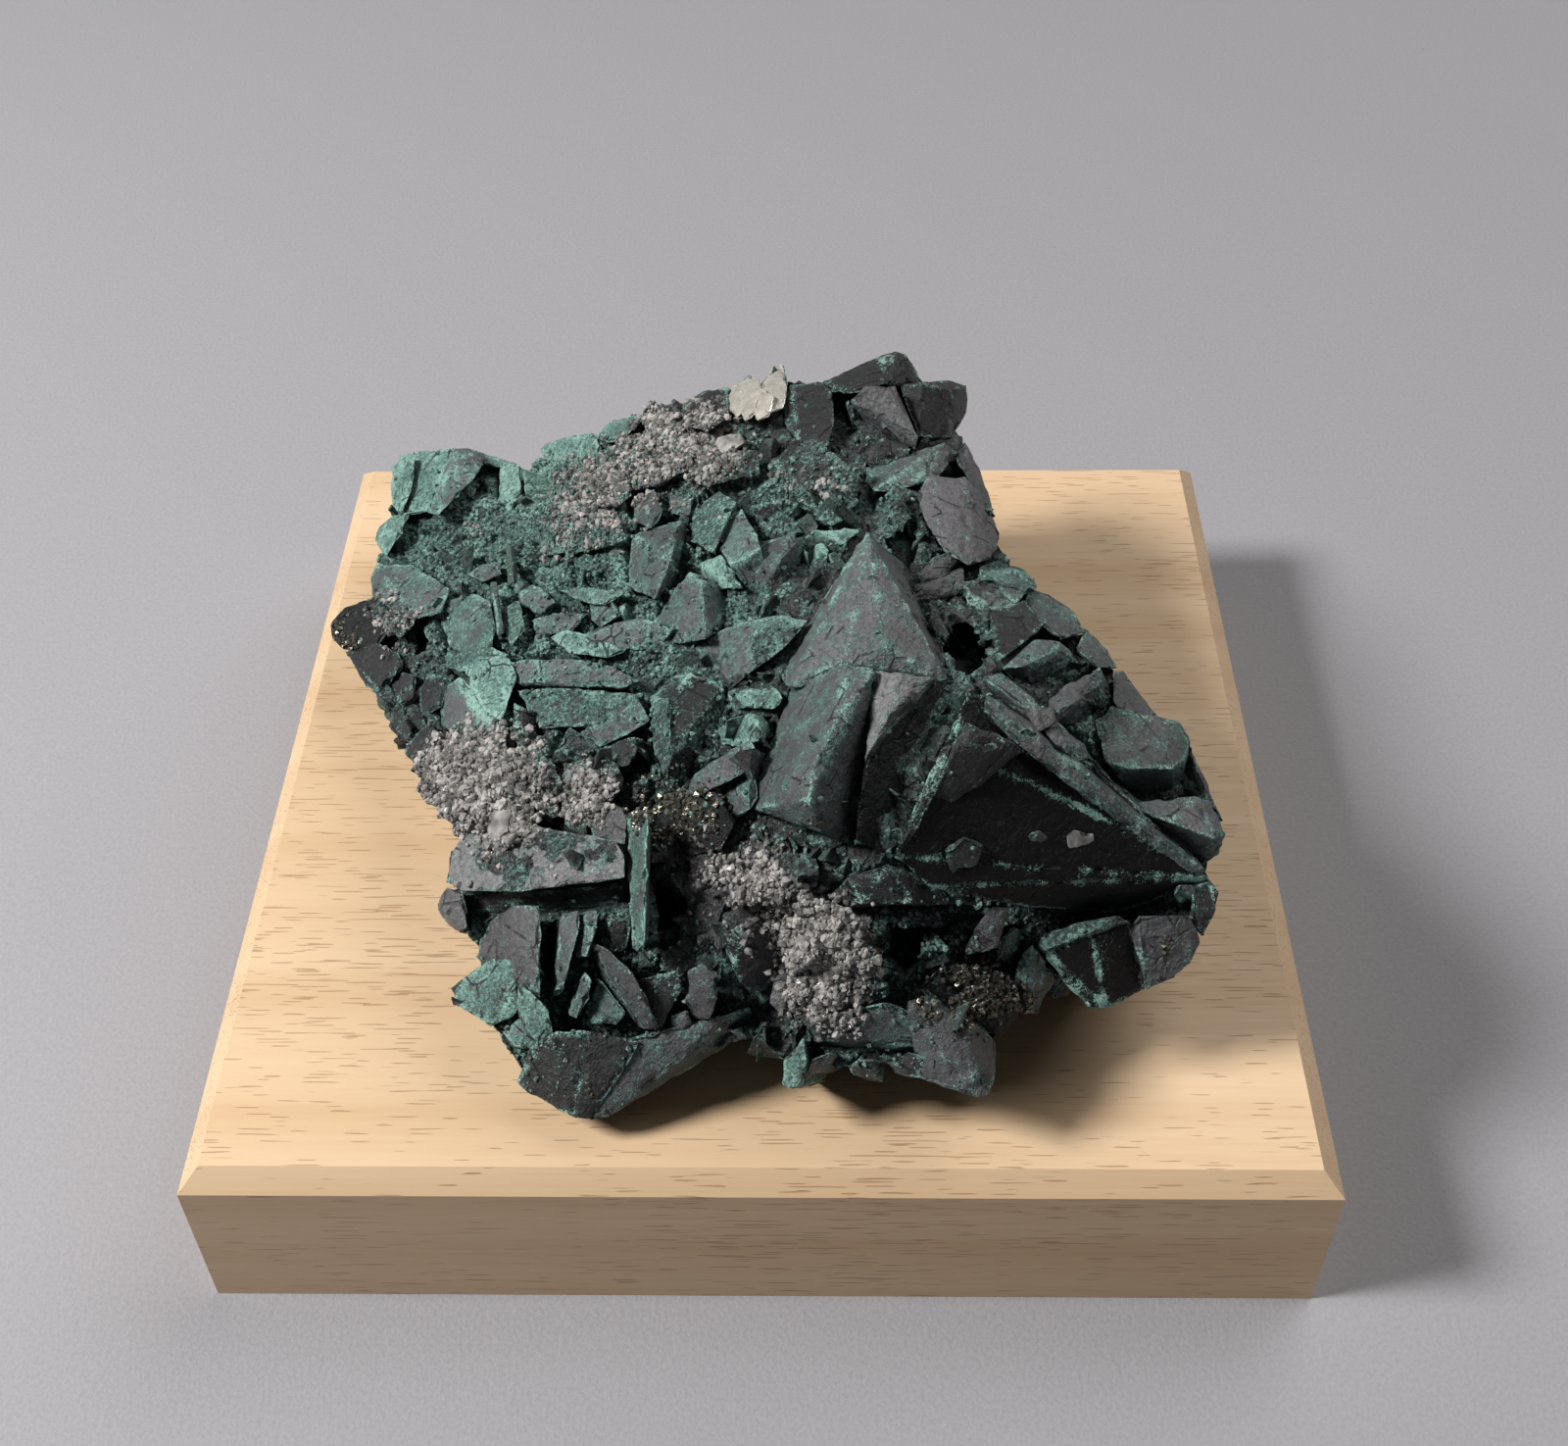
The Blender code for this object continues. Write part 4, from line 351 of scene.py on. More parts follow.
            (414, 754, 0.3)]),
        ("left_small_c", 6.0, Finish.DARK_AND_SHADED, [(411, 767, 0.2), (418, 752, 0.8), (440, 735, 1.5),
            (452, 755, 1.6), (438, 775, 1), (425, 784, 0.2)]),
        ("left_small_d", 5.0, Finish.DARK_AND_SHADED, [(426, 705, 0.4), (438, 686, 1), (460, 690, 1.6),
            (450, 722, 1), (430, 732, 0.5)]),
        ("corner_leaf", 11.0, Finish.GREEN, [(386, 555, 0), (388, 541, 0.3), (400, 525, 0.8),
            (418, 522, 1.5), (408, 545, 1.6), (394, 568, 0.3)]),
        ("corner_face_a", 7.0, Finish.GREEN, [(399, 479, 0), (408, 463, 0.3), (440, 458, 1.2),
            (462, 458, 1.2), (452, 490, 2.2), (436, 522, 1.6), (414, 524, 1), (405, 506, 0.2)]),
        ("corner_face_b", 10.0, Finish.LILAC, [(462, 457, 1.4), (484, 457, 1.2), (496, 468, 1),
            (486, 486, 2.4), (470, 502, 2.8), (446, 527, 2.6), (436, 523, 2.4), (452, 490, 3.2),
            (460, 470, 3)]),
        ("corner_face_c", 9.0, Finish.GREEN, [(402, 500, 0.8), (416, 470, 2), (424, 466, 2.2),
            (420, 500, 2.2), (408, 528, 1.2), (400, 516, 0.6)]),
        ("corner_rim", 11.0, Finish.DUSTED, [(484, 458, 0), (500, 467, -0.5), (530, 474, -0.5),
            (515, 480, -0.5), (495, 474, 0)]),
        ("corner_right_a", 6.0, Finish.GREEN, [(510, 474, 0), (530, 475, 0.8), (532, 500, 1.5),
            (520, 524, 1), (508, 516, 0)]),
        ("corner_right_b", 6.0, Finish.DARK_AND_SHADED, [(532, 477, 0.4), (556, 484, -0.3), (568, 496, -1),
            (560, 512, -1.5), (538, 520, 0), (535, 498, 1.4)]),
    ],
    "back_left": [
        ("back_green_a", 10.0, Finish.GREEN, [(564, 451, 0.2), (580, 445, 0.5), (604, 441, 0.3),
            (613, 455, 0.6), (608, 472, 0.8), (585, 474, 1), (562, 474, 0.2), (558, 462, 0)]),
        ("back_green_b", 8.0, Finish.GREEN, [(612, 440, 0), (624, 428, 0.3), (652, 421, 0.3),
            (658, 425, 0.5), (638, 446, 1), (618, 452, 0.8)]),
        ("back_pyramid", 7.0, Finish.PALE, [(722, 460, 1.6), (733, 446, 2.4), (757, 445, 2.4),
            (762, 452, 2), (745, 463, 1.8)]),
        ("back_lumps_a", 10.0, Finish.DARK_AND_SHADED, [(655, 422, 0), (662, 411, 0.2), (692, 412, 0.4),
            (690, 440, 1.5), (660, 445, 0.8)]),
        ("back_lumps_b", 6.0, Finish.DARK_AND_SHADED, [(698, 414, 0.2), (722, 396, 0.2), (744, 396, 0.4),
            (745, 425, 1), (722, 440, 1.5), (700, 435, 1)]),
        ("quartz_point", 6.0, Finish.QUARTZ, [(750, 410, 0.8), (754, 388, 0.3), (764, 381, 0.3),
            (775, 386, 0.8), (778, 404, 1.8), (772, 420, 1.8), (760, 430, 1.4)]),
        ("quartz_left", 4.0, Finish.QUARTZ, [(742, 404, 0.4), (749, 391, 0.2), (758, 396, 0.9),
            (760, 418, 1.5), (752, 426, 1.2), (744, 420, 0.6)]),
        ("quartz_low", 6.0, Finish.QUARTZ, [(774, 396, 0.9), (784, 385, 0.2), (800, 385, 0.2),
            (804, 398, 0.8), (800, 416, 1.2), (784, 422, 1.6)]),
        ("quartz_mid", 4.0, Finish.QUARTZ, [(764, 402, 1.6), (778, 394, 1.4), (790, 404, 1.8),
            (786, 424, 2), (772, 430, 1.8)]),
    ],
    "shelf": [
        ("shelf_plate", 7.0, Finish.PAINTED_LIT, [(456, 882, 0.5), (459, 868, 0.8), (476, 850, 1),
            (540, 840, 2.4), (628, 856, 3), (638, 872, 3), (638, 896, 2.6), (560, 906, 2.8),
            (520, 911, 2.6), (470, 909, 1.6), (455, 900, 0.8)]),
        ("shelf_under", 4.0, Finish.DARK_AND_SHADED, [(470, 912, 0), (560, 908, 0.5), (637, 902, 0.5),
            (636, 918, -1), (600, 928, -2), (545, 922, -1.5), (500, 934, -2), (478, 936, -1.5)]),
        ("shelf_nub", 12.0, Finish.LILAC, [(445, 922, 0.2), (455, 905, 1), (470, 908, 1.4),
            (473, 930, 1.2), (477, 947, 0.8), (469, 952, 0.5), (452, 940, 0.2)]),
        ("shelf_block", 7.0, Finish.LILAC, [(500, 940, 0.4), (522, 924, 1.2), (551, 922, 2.2),
            (550, 960, 2.6), (549, 1004, 2.6), (552, 1020, 2), (530, 1012, 1.4), (498, 985, 0.2),
            (484, 976, 0), (488, 956, 0.2)]),
        ("blade_a", 6.0, Finish.DUSTED, [(572, 930, 1.4), (590, 929, 2.2), (590, 950, 2.4),
            (582, 980, 2.4), (574, 1010, 2), (564, 1018, 1), (566, 985, 1.2)]),
        ("blade_b", 6.0, Finish.DUSTED, [(590, 930, 1.5), (612, 926, 2), (606, 955, 2.4), (598, 976, 2.2),
            (586, 978, 1.4)]),
        ("blade_c", 6.0, Finish.DUSTED, [(596, 990, 1.4), (605, 1000, 2.4), (596, 1026, 2.2),
            (588, 1040, 1.6), (580, 1036, 1)]),
        ("blade_d", 6.0, Finish.DUSTED, [(612, 998, 1.2), (640, 1034, 1.6), (630, 1046, 1),
            (600, 1044, 0.6), (596, 1030, 0.4)]),
        ("leaning_plate", 5.0, Finish.LILAC, [(608, 962, 2), (622, 970, 2.8), (645, 992, 3),
            (660, 1020, 2.8), (673, 1052, 2), (655, 1050, 1.5), (632, 1020, 1.6), (614, 988, 1.6)]),
        ("dark_triangle_face", 6.0, Finish.DARK_AND_SHADED, [(646, 1000, 1.8), (690, 990, 2), (696, 1010, 1.8),
            (680, 1040, 1.4), (672, 1055, 1.2), (660, 1035, 1.6)]),
        ("rough_block", 6.0, Finish.DARK_AND_SHADED, [(606, 945, 1), (622, 930, 1.6), (645, 942, 1), (640, 975, 0),
            (616, 968, 0.8)]),
        ("granular_lump", 9.0, Finish.GREEN, [(459, 1008, 0.2), (478, 994, 1), (502, 976, 1.4),
            (530, 980, 1.6), (526, 1004, 1.6), (530, 1030, 1), (520, 1040, 0.5), (500, 1048, 0.3),
            (478, 1036, 0.2), (464, 1024, 0.2)]),
        ("green_foot", 6.0, Finish.GREEN, [(512, 1052, 0.2), (530, 1038, 1), (562, 1040, 1.6),
            (566, 1062, 1.2), (545, 1070, 0.6), (520, 1069, 0.2)]),
        ("green_column", 6.0, Finish.GREEN, [(528, 1000, 1.6), (545, 1014, 2.4), (560, 1030, 2),
            (562, 1052, 1.4), (548, 1064, 1.2), (532, 1050, 1.2), (526, 1024, 1.4)]),
        ("vertical_strip", 6.0, Finish.GREEN, [(640, 832, 2), (650, 824, 2.8), (661, 830, 3.4),
            (659, 900, 3.4), (658, 962, 3), (652, 976, 2.4), (645, 966, 1.8), (640, 900, 1.8),
            (664, 860, -1.5), (664, 950, -2)]),
        ("sulphide_patch", 6.0, Finish.SULPHIDE, [(668, 812, 0), (700, 808, 0.8), (740, 822, 0.8),
            (752, 840, 0), (736, 868, -1), (700, 872, -1.6), (668, 862, -1.5)]),
        ("oval_crystal", 6.0, Finish.LILAC, [(702, 990, 1.6), (716, 982, 2.2), (730, 996, 2.6),
            (733, 1020, 2.4), (724, 1040, 1.8), (706, 1036, 1.4), (698, 1020, 1.6)]),
        ("oval_foot", 6.0, Finish.LILAC, [(684, 1036, 1.2), (702, 1030, 1.8), (708, 1044, 1.4),
            (700, 1060, 1), (684, 1060, 0.8)]),
        ("dark_oval", 6.0, Finish.DARK_AND_SHADED, [(736, 950, 1.6), (760, 940, 2.4), (790, 948, 1.2), (802, 966, 0),
            (800, 990, -1), (778, 1012, -1), (762, 1010, 0), (748, 992, 1), (738, 968, 1.4)]),
        ("bottom_lobe", 7.0, Finish.DARK_AND_SHADED, [(527, 1104, 0.2), (536, 1084, 0.5), (540, 1068, 1),
            (562, 1052, 2), (600, 1050, 2.4), (655, 1062, 2), (600, 1100, 1.5), (603, 1144, 0.4),
            (584, 1142, 0.3), (555, 1120, 0.2), (542, 1118, 0)]),
        ("bottom_lobe_right", 6.0, Finish.DUSTED, [(600, 1096, 1.6), (640, 1060, 1.8), (700, 1056, 1),
            (740, 1036, 0.6), (768, 1026, 0), (770, 1050, -5), (700, 1088, -4), (640, 1122, -2.4),
            (618, 1142, 0), (603, 1144, 0.2)]),
    ],
    "front": [
        ("front_blade", 6.0, Finish.DUSTED, [(822, 1050, 1), (838, 1037, 1.8), (905, 1022, 2.2),
            (926, 1030, 2), (938, 1046, 1.8), (956, 1068, 0.8), (920, 1068, 0.6), (870, 1063, 0.6),
            (826, 1061, 0.5)]),
        ("front_crystal", 8.0, Finish.LILAC, [(924, 1020, 2), (950, 1016, 2.4), (985, 1050, 3),
            (984, 1072, 2.6), (990, 1090, 2), (986, 1112, 0.8), (960, 1104, 0.2), (936, 1100, 0.2),
            (944, 1078, 1), (936, 1046, 2), (1000, 1046, 1.4), (1018, 1062, 0), (1015, 1100, 0),
            (1010, 1117, 0), (996, 1121, 0.2)]),
        ("front_corner", 9.0, Finish.GREEN, [(797, 1080, 0.6), (820, 1058, 1.6), (824, 1082, 1.4),
            (818, 1104, 0.5), (805, 1113, 0.1), (797, 1106, 0.1)]),
        ("front_corner_lilac", 8.0, Finish.LILAC, [(822, 1094, 0.4), (828, 1080, 1.2), (850, 1072, 1),
            (856, 1076, 0.4), (836, 1094, 0.2)]),
        ("front_nub", 8.0, Finish.DARK_AND_SHADED, [(864, 1087, 0.4), (874, 1080, 1.2), (893, 1081, 1.4),
            (896, 1098, 0.4), (884, 1101, 0.2), (868, 1096, 0.2), (904, 1084, -1), (900, 1104, -0.4)]),
        ("front_rib", 6.0, Finish.DARK_AND_SHADED, [(906, 1084, 0.4), (925, 1072, 1.4), (946, 1078, 1.6),
            (938, 1100, 0.2), (912, 1097, 0.2)]),
        ("above_lens", 6.0, Finish.DARK_AND_SHADED, [(845, 912, 0.6), (868, 892, 1.4), (908, 880, 1.6),
            (950, 905, 1), (1000, 922, 0.6), (930, 922, 1.8), (880, 924, 1.8), (850, 925, 0.6)]),
        ("front_crust_facet", 6.0, Finish.LILAC, [(790, 1000, 1.2), (812, 992, 1.8), (814, 1018, 1.6),
            (800, 1040, 1), (784, 1024, 0.8)]),
        ("front_strip", 8.0, Finish.LILAC, [(1012, 924, 1.8), (1031, 925, 2.4), (1028, 945, 2.6),
            (1018, 966, 2.4), (1004, 972, 1.6), (986, 972, 0.8), (992, 952, 1)]),
        ("front_strip_b", 5.0, Finish.DUSTED, [(1020, 962, 1.2), (1034, 945, 1.6), (1044, 950, 0.6),
            (1038, 980, -1), (1015, 985, -0.5)]),
        ("right_foot", 6.0, Finish.DUSTED, [(1038, 980, 0.6), (1053, 962, 1.6), (1068, 980, 2),
            (1077, 1000, 0.6), (1064, 1018, 0.2), (1058, 1034, 0.1), (1042, 1036, 0.1), (1034, 1020, 0)]),
        ("sparkling_mass", 7.0, Finish.SULPHIDE, [(935, 1008, 1), (960, 985, 1.4), (1000, 985, 1.6),
            (1035, 1000, 1.2), (1044, 1034, 0.2), (1020, 1058, 0.1), (1000, 1050, 0.8), (960, 1030, 1)]),
        ("lobe_face", 8.0, Finish.BLACK_AND_SHADED, [(1058, 966, 1.6), (1060, 954, 1.6), (1106, 940, 2.2),
            (1141, 934, 2.4), (1154, 941, 2), (1112, 952, 3), (1068, 972, 2.6), (1156, 958, -1),
            (1162, 1000, -1.2), (1170, 1010, -0.6), (1130, 1030, 0.2), (1113, 1033, 0.2),
            (1098, 1016, 0.8), (1082, 996, 1.4)]),
        ("lobe_top", 6.0, Finish.MOSS, [(1058, 964, 2.2), (1060, 954, 2), (1106, 939, 2.6),
            (1141, 933, 2.8), (1154, 940, 2.4), (1112, 952, 3.3), (1068, 971, 3)]),
        ("lobe_plate", 7.0, Finish.LILAC, [(1152, 946, 1.8), (1162, 934, 2.2), (1216, 934, 1),
            (1222, 952, 0.4), (1196, 958, 1), (1164, 958, 1.6), (1170, 1010, 0.4), (1195, 998, 0),
            (1214, 983, 0), (1224, 962, 0)]),
        ("right_rim_low", 9.0, Finish.DARK_AND_SHADED, [(1216, 905, 1), (1234, 898, 0.6), (1244, 910, 0),
            (1242, 928, 0), (1228, 958, 0), (1216, 940, 0.8)]),
        ("right_rim_block", 5.0, Finish.DUSTED, [(1196, 912, 1.2), (1202, 902, 1.6), (1218, 902, 1.4),
            (1222, 916, 0.6), (1206, 922, 0.2)]),
    ],
}


class PhotoCamera:
    """The camera of the photograph and the bed of the specimen seen through it."""

    def __init__(self) -> None:
        """Set the directions of the camera and solve the bed's smooth surface."""
        turn = Matrix.Rotation(CAMERA_YAW, 3, "Z")
        self.forward = turn @ Vector((0, math.cos(CAMERA_PITCH), -math.sin(CAMERA_PITCH)))
        side = turn @ Vector((1, 0, 0))
        above = turn @ Vector((0, math.sin(CAMERA_PITCH), math.cos(CAMERA_PITCH)))
        self.right = math.cos(CAMERA_ROLL) * side + math.sin(CAMERA_ROLL) * above
        self.up = -math.sin(CAMERA_ROLL) * side + math.cos(CAMERA_ROLL) * above
        self.spots = np.array(BED, dtype=float)
        gaps = np.hypot(self.spots[:, None, 0] - self.spots[None, :, 0],
                        self.spots[:, None, 1] - self.spots[None, :, 1])
        self.weights = np.linalg.solve(gaps, self.spots[:, 2])

    def sight(self, u: float, v: float) -> Vector:
        """Return the direction in which a pixel looks.

        Args:
            u: Pixel column.
            v: Pixel row.

        Returns:
            The direction, one long along the camera's axis.
        """
        return (self.forward + self.right * (u - CENTRE_U) / FOCAL_PIXELS
                - self.up * (v - CENTRE_V) / FOCAL_PIXELS)

    def bed(self, u: float, v: float) -> float:
        """Return the bed's height in mm at a pixel.

        Args:
            u: Pixel column.
            v: Pixel row.

        Returns:
            The height above the table.
        """
        return float(np.hypot(self.spots[:, 0] - u, self.spots[:, 1] - v) @ self.weights)

    def seen(self, u: float, v: float, height: float) -> Vector:
        """Return the point in mm that a pixel shows at a height.

        Args:
            u: Pixel column.
            v: Pixel row.
            height: Height above the table in mm.

        Returns:
            The point.
        """
        sight = self.sight(u, v)
        return CAMERA_PLACE + sight * ((height - CAMERA_PLACE.z) / sight.z)

    def on_bed(self, u: float, v: float, rise: float) -> Vector:
        """Return the point in mm that a pixel shows at a rise above the bed.

        Args:
            u: Pixel column.
            v: Pixel row.
            rise: Rise above the bed in mm.

        Returns:
            The point.
        """
        return self.seen(u, v, self.bed(u, v) + rise)

    def pixels(self, points: np.ndarray) -> tuple[np.ndarray, np.ndarray]:
        """Return the pixels at which points are seen.

        Args:
            points: Points in mm, one a row.

        Returns:
            The columns and the rows.
        """
        offset = points - np.array(CAMERA_PLACE)
        depth = offset @ np.array(self.forward)
        columns = CENTRE_U + FOCAL_PIXELS * (offset @ np.array(self.right)) / depth
        rows = CENTRE_V - FOCAL_PIXELS * (offset @ np.array(self.up)) / depth
        return columns, rows

    def make(self) -> bpy.types.Object:
        """Make the scene's camera at the photograph's place.

        Returns:
            The camera object.
        """
        data = bpy.data.cameras.new("photo_camera")
        data.sensor_fit = "HORIZONTAL"
        data.sensor_width = SENSOR_WIDTH
        data.lens = FOCAL_PIXELS / PICTURE_WIDTH * SENSOR_WIDTH
        data.clip_start = MM
        obj = link("photo_camera", data)
        turn = Matrix((self.right, self.up, -self.forward)).transposed().to_4x4()
        obj.matrix_world = Matrix.Translation(CAMERA_PLACE * MM) @ turn
        bpy.context.scene.camera = obj
        return obj


CAMERA = PhotoCamera()


@dataclass(frozen=True)
class Patch:
    """A soft round patch of the picture: its middle, radius in pixels and strength."""

    u: float
    v: float
    radius: float
    strength: float


def patches_of(*rows: tuple[float, float, float, float]) -> list[Patch]:
    """Return soft patches from their u, v, radius and strength."""
    return [Patch(*row) for row in rows]


# Where green crust is thick, or below zero thin
GREEN_PATCHES = patches_of(
    (430, 490, 62, 0.78), (540, 490, 42, 0.56), (585, 460, 42, 0.50), (520, 640, 90, 0.34),
    (600, 600, 80, 0.30), (690, 560, 90, 0.28), (420, 590, 50, 0.20), (650, 700, 60, 0.16),
    (800, 520, 60, 0.20), (700, 640, 60, 0.24), (620, 1000, 90, 0.12), (560, 1060, 60, 0.14),
    (1010, 600, 40, 0.14), (790, 760, 70, 0.08), (480, 720, 60, 0.22), (905, 480, 50, 0.10),
    (950, 1060, 60, 0.10), (1050, 930, 60, 0.10), (1150, 770, 90, 0.08), (740, 870, 70, -0.30),
    (1060, 850, 90, -0.30), (970, 650, 50, -0.25), (700, 920, 50, -0.25), (390, 650, 50, -0.25),
    (860, 430, 60, -0.12), (960, 430, 70, -0.20), (590, 1100, 60, -0.10),
)
# Thin pale-green veins
VEIN_PATCHES = patches_of(
    (472, 687, 8, 0.9), (476, 700, 8, 0.9), (482, 714, 8, 0.9), (490, 728, 8, 0.9), (503, 737, 8, 0.9),
    (517, 741, 8, 0.8), (1086, 765, 7, 0.6), (1100, 777, 7, 0.6),
)
VEIN_STRENGTH = 2.0
# Where the rock between the crystals stands nearly as high as they do
LIFT_PATCHES = patches_of(
    (560, 620, 110, 1.0), (470, 640, 60, 0.7), (450, 500, 50, 0.8), (590, 700, 80, 0.8),
    (680, 520, 80, 0.7), (560, 540, 60, 0.6), (700, 700, 60, 0.6), (820, 480, 60, 0.7),
    (640, 450, 60, 0.6), (700, 800, 60, 0.5), (1080, 680, 70, 0.5), (1170, 780, 70, 0.4),
    (470, 740, 60, 0.7), (400, 600, 50, 0.5), (900, 470, 50, 0.5), (520, 490, 50, 0.5),
)
# Where white quartz grains are strewn
WHITE_PATCHES = patches_of(
    (600, 500, 48, 0.55), (672, 440, 42, 0.70), (705, 470, 50, 0.62), (748, 470, 30, 0.45),
    (585, 545, 40, 0.50), (640, 500, 50, 0.30), (840, 490, 36, 0.42), (800, 500, 34, 0.22),
    (485, 545, 22, 0.40), (400, 632, 36, 0.62), (497, 800, 66, 1.2), (462, 790, 34, 0.9),
    (520, 842, 24, 0.9), (604, 812, 32, 1.0), (770, 900, 46, 0.9), (700, 880, 40, 0.35),
    (845, 980, 52, 1.2), (840, 945, 34, 0.9), (845, 1022, 34, 0.9), (730, 420, 24, 0.5),
)


def patch_values(patches: list[Patch], columns: np.ndarray, rows: np.ndarray) -> np.ndarray:
    """Add up soft patches at pixels.

    Args:
        patches: The patches.
        columns: Pixel columns.
        rows: Pixel rows.

    Returns:
        The sum of the patches' strengths at each pixel.
    """
    total = np.zeros(len(columns))
    for patch in patches:
        away = ((columns - patch.u) ** 2 + (rows - patch.v) ** 2) / patch.radius ** 2
        total += patch.strength * np.exp(-away)
    return total


@dataclass
class Marks:
    """What the soft patches say at some places: crust, white grains, veins and raised rock."""

    greens: np.ndarray
    whites: np.ndarray
    veins: np.ndarray
    lifts: np.ndarray

    @classmethod
    def at(cls, places: np.ndarray) -> "Marks":
        """Read every patch table at places.

        Args:
            places: Places in mm, one a row.

        Returns:
            The marks.
        """
        columns, rows = CAMERA.pixels(places)
        tables = (GREEN_PATCHES, WHITE_PATCHES, VEIN_PATCHES, LIFT_PATCHES)
        return cls(*(patch_values(table, columns, rows) for table in tables))


def patch_value(patches: list[Patch], u: float, v: float) -> float:
    """Add up soft patches at one pixel."""
    return patch_values(patches, np.array([u]), np.array([v]))[0]


@dataclass(frozen=True)
class Relief:
    """How a skin departs from its flat faces, in mm."""

    edge_length: float
    swell: float
    swell_scale: float
    grain: float
    grain_scale: float
    chip: float = 0.0
    sink: float = 0.0
    facet: float = 0.0
    facet_size: float = 1.0


CRYSTAL_RELIEF = Relief(edge_length=0.80, swell=0.15, swell_scale=0.30, grain=0.06, grain_scale=1.5,
                        chip=0.50)
SMALL_RELIEF = Relief(edge_length=0.80, swell=0.10, swell_scale=0.5, grain=0.07, grain_scale=1.7,
                      chip=0.22)
ROCK_RELIEF = Relief(edge_length=0.69, swell=0.34, swell_scale=0.50, grain=0.30, grain_scale=1.5, sink=0.34,
                     facet=0.85, facet_size=2.7)


# How steep and how high the rock's small facets are, and what sets their seeded numbers apart
CELL_SLANT = 1.6
CELL_STEP = 0.7
CELL_SLANT_SPREAD = 7.3
CELL_STEP_SPREAD = 3.1


def tilted_cells(place: Vector, size: float) -> float:
    """Return the height of small flat facets that meet at random slants.

    Args:
        place: A place in mm.
        size: Spacing of the facets in mm.

    Returns:
        The height, about -1 to 1.
    """
    spot = place / size
    nearest = noise.voronoi(spot)[1][0]
    slant = noise.noise_vector(nearest * CELL_SLANT_SPREAD)
    return slant.dot(spot - nearest) * CELL_SLANT + noise.noise(nearest * CELL_STEP_SPREAD) * CELL_STEP


# How near a point has to be to lie on a named crystal, in mm: for the skin and for what stands on it
ON_SKIN = 0.12
ON_GRAIN = 0.25
ON_CRUST = 0.3
# A distance in mm that stands for none found, and a number too small to divide by
FAR = 99.0
TINY = 1e-9


def touches(tree: BVHTree, point: Vector, margin: float) -> bool:
    """Say whether a point lies within a margin in mm of a tree's faces."""
    return tree.find_nearest(point, margin)[0] is not None


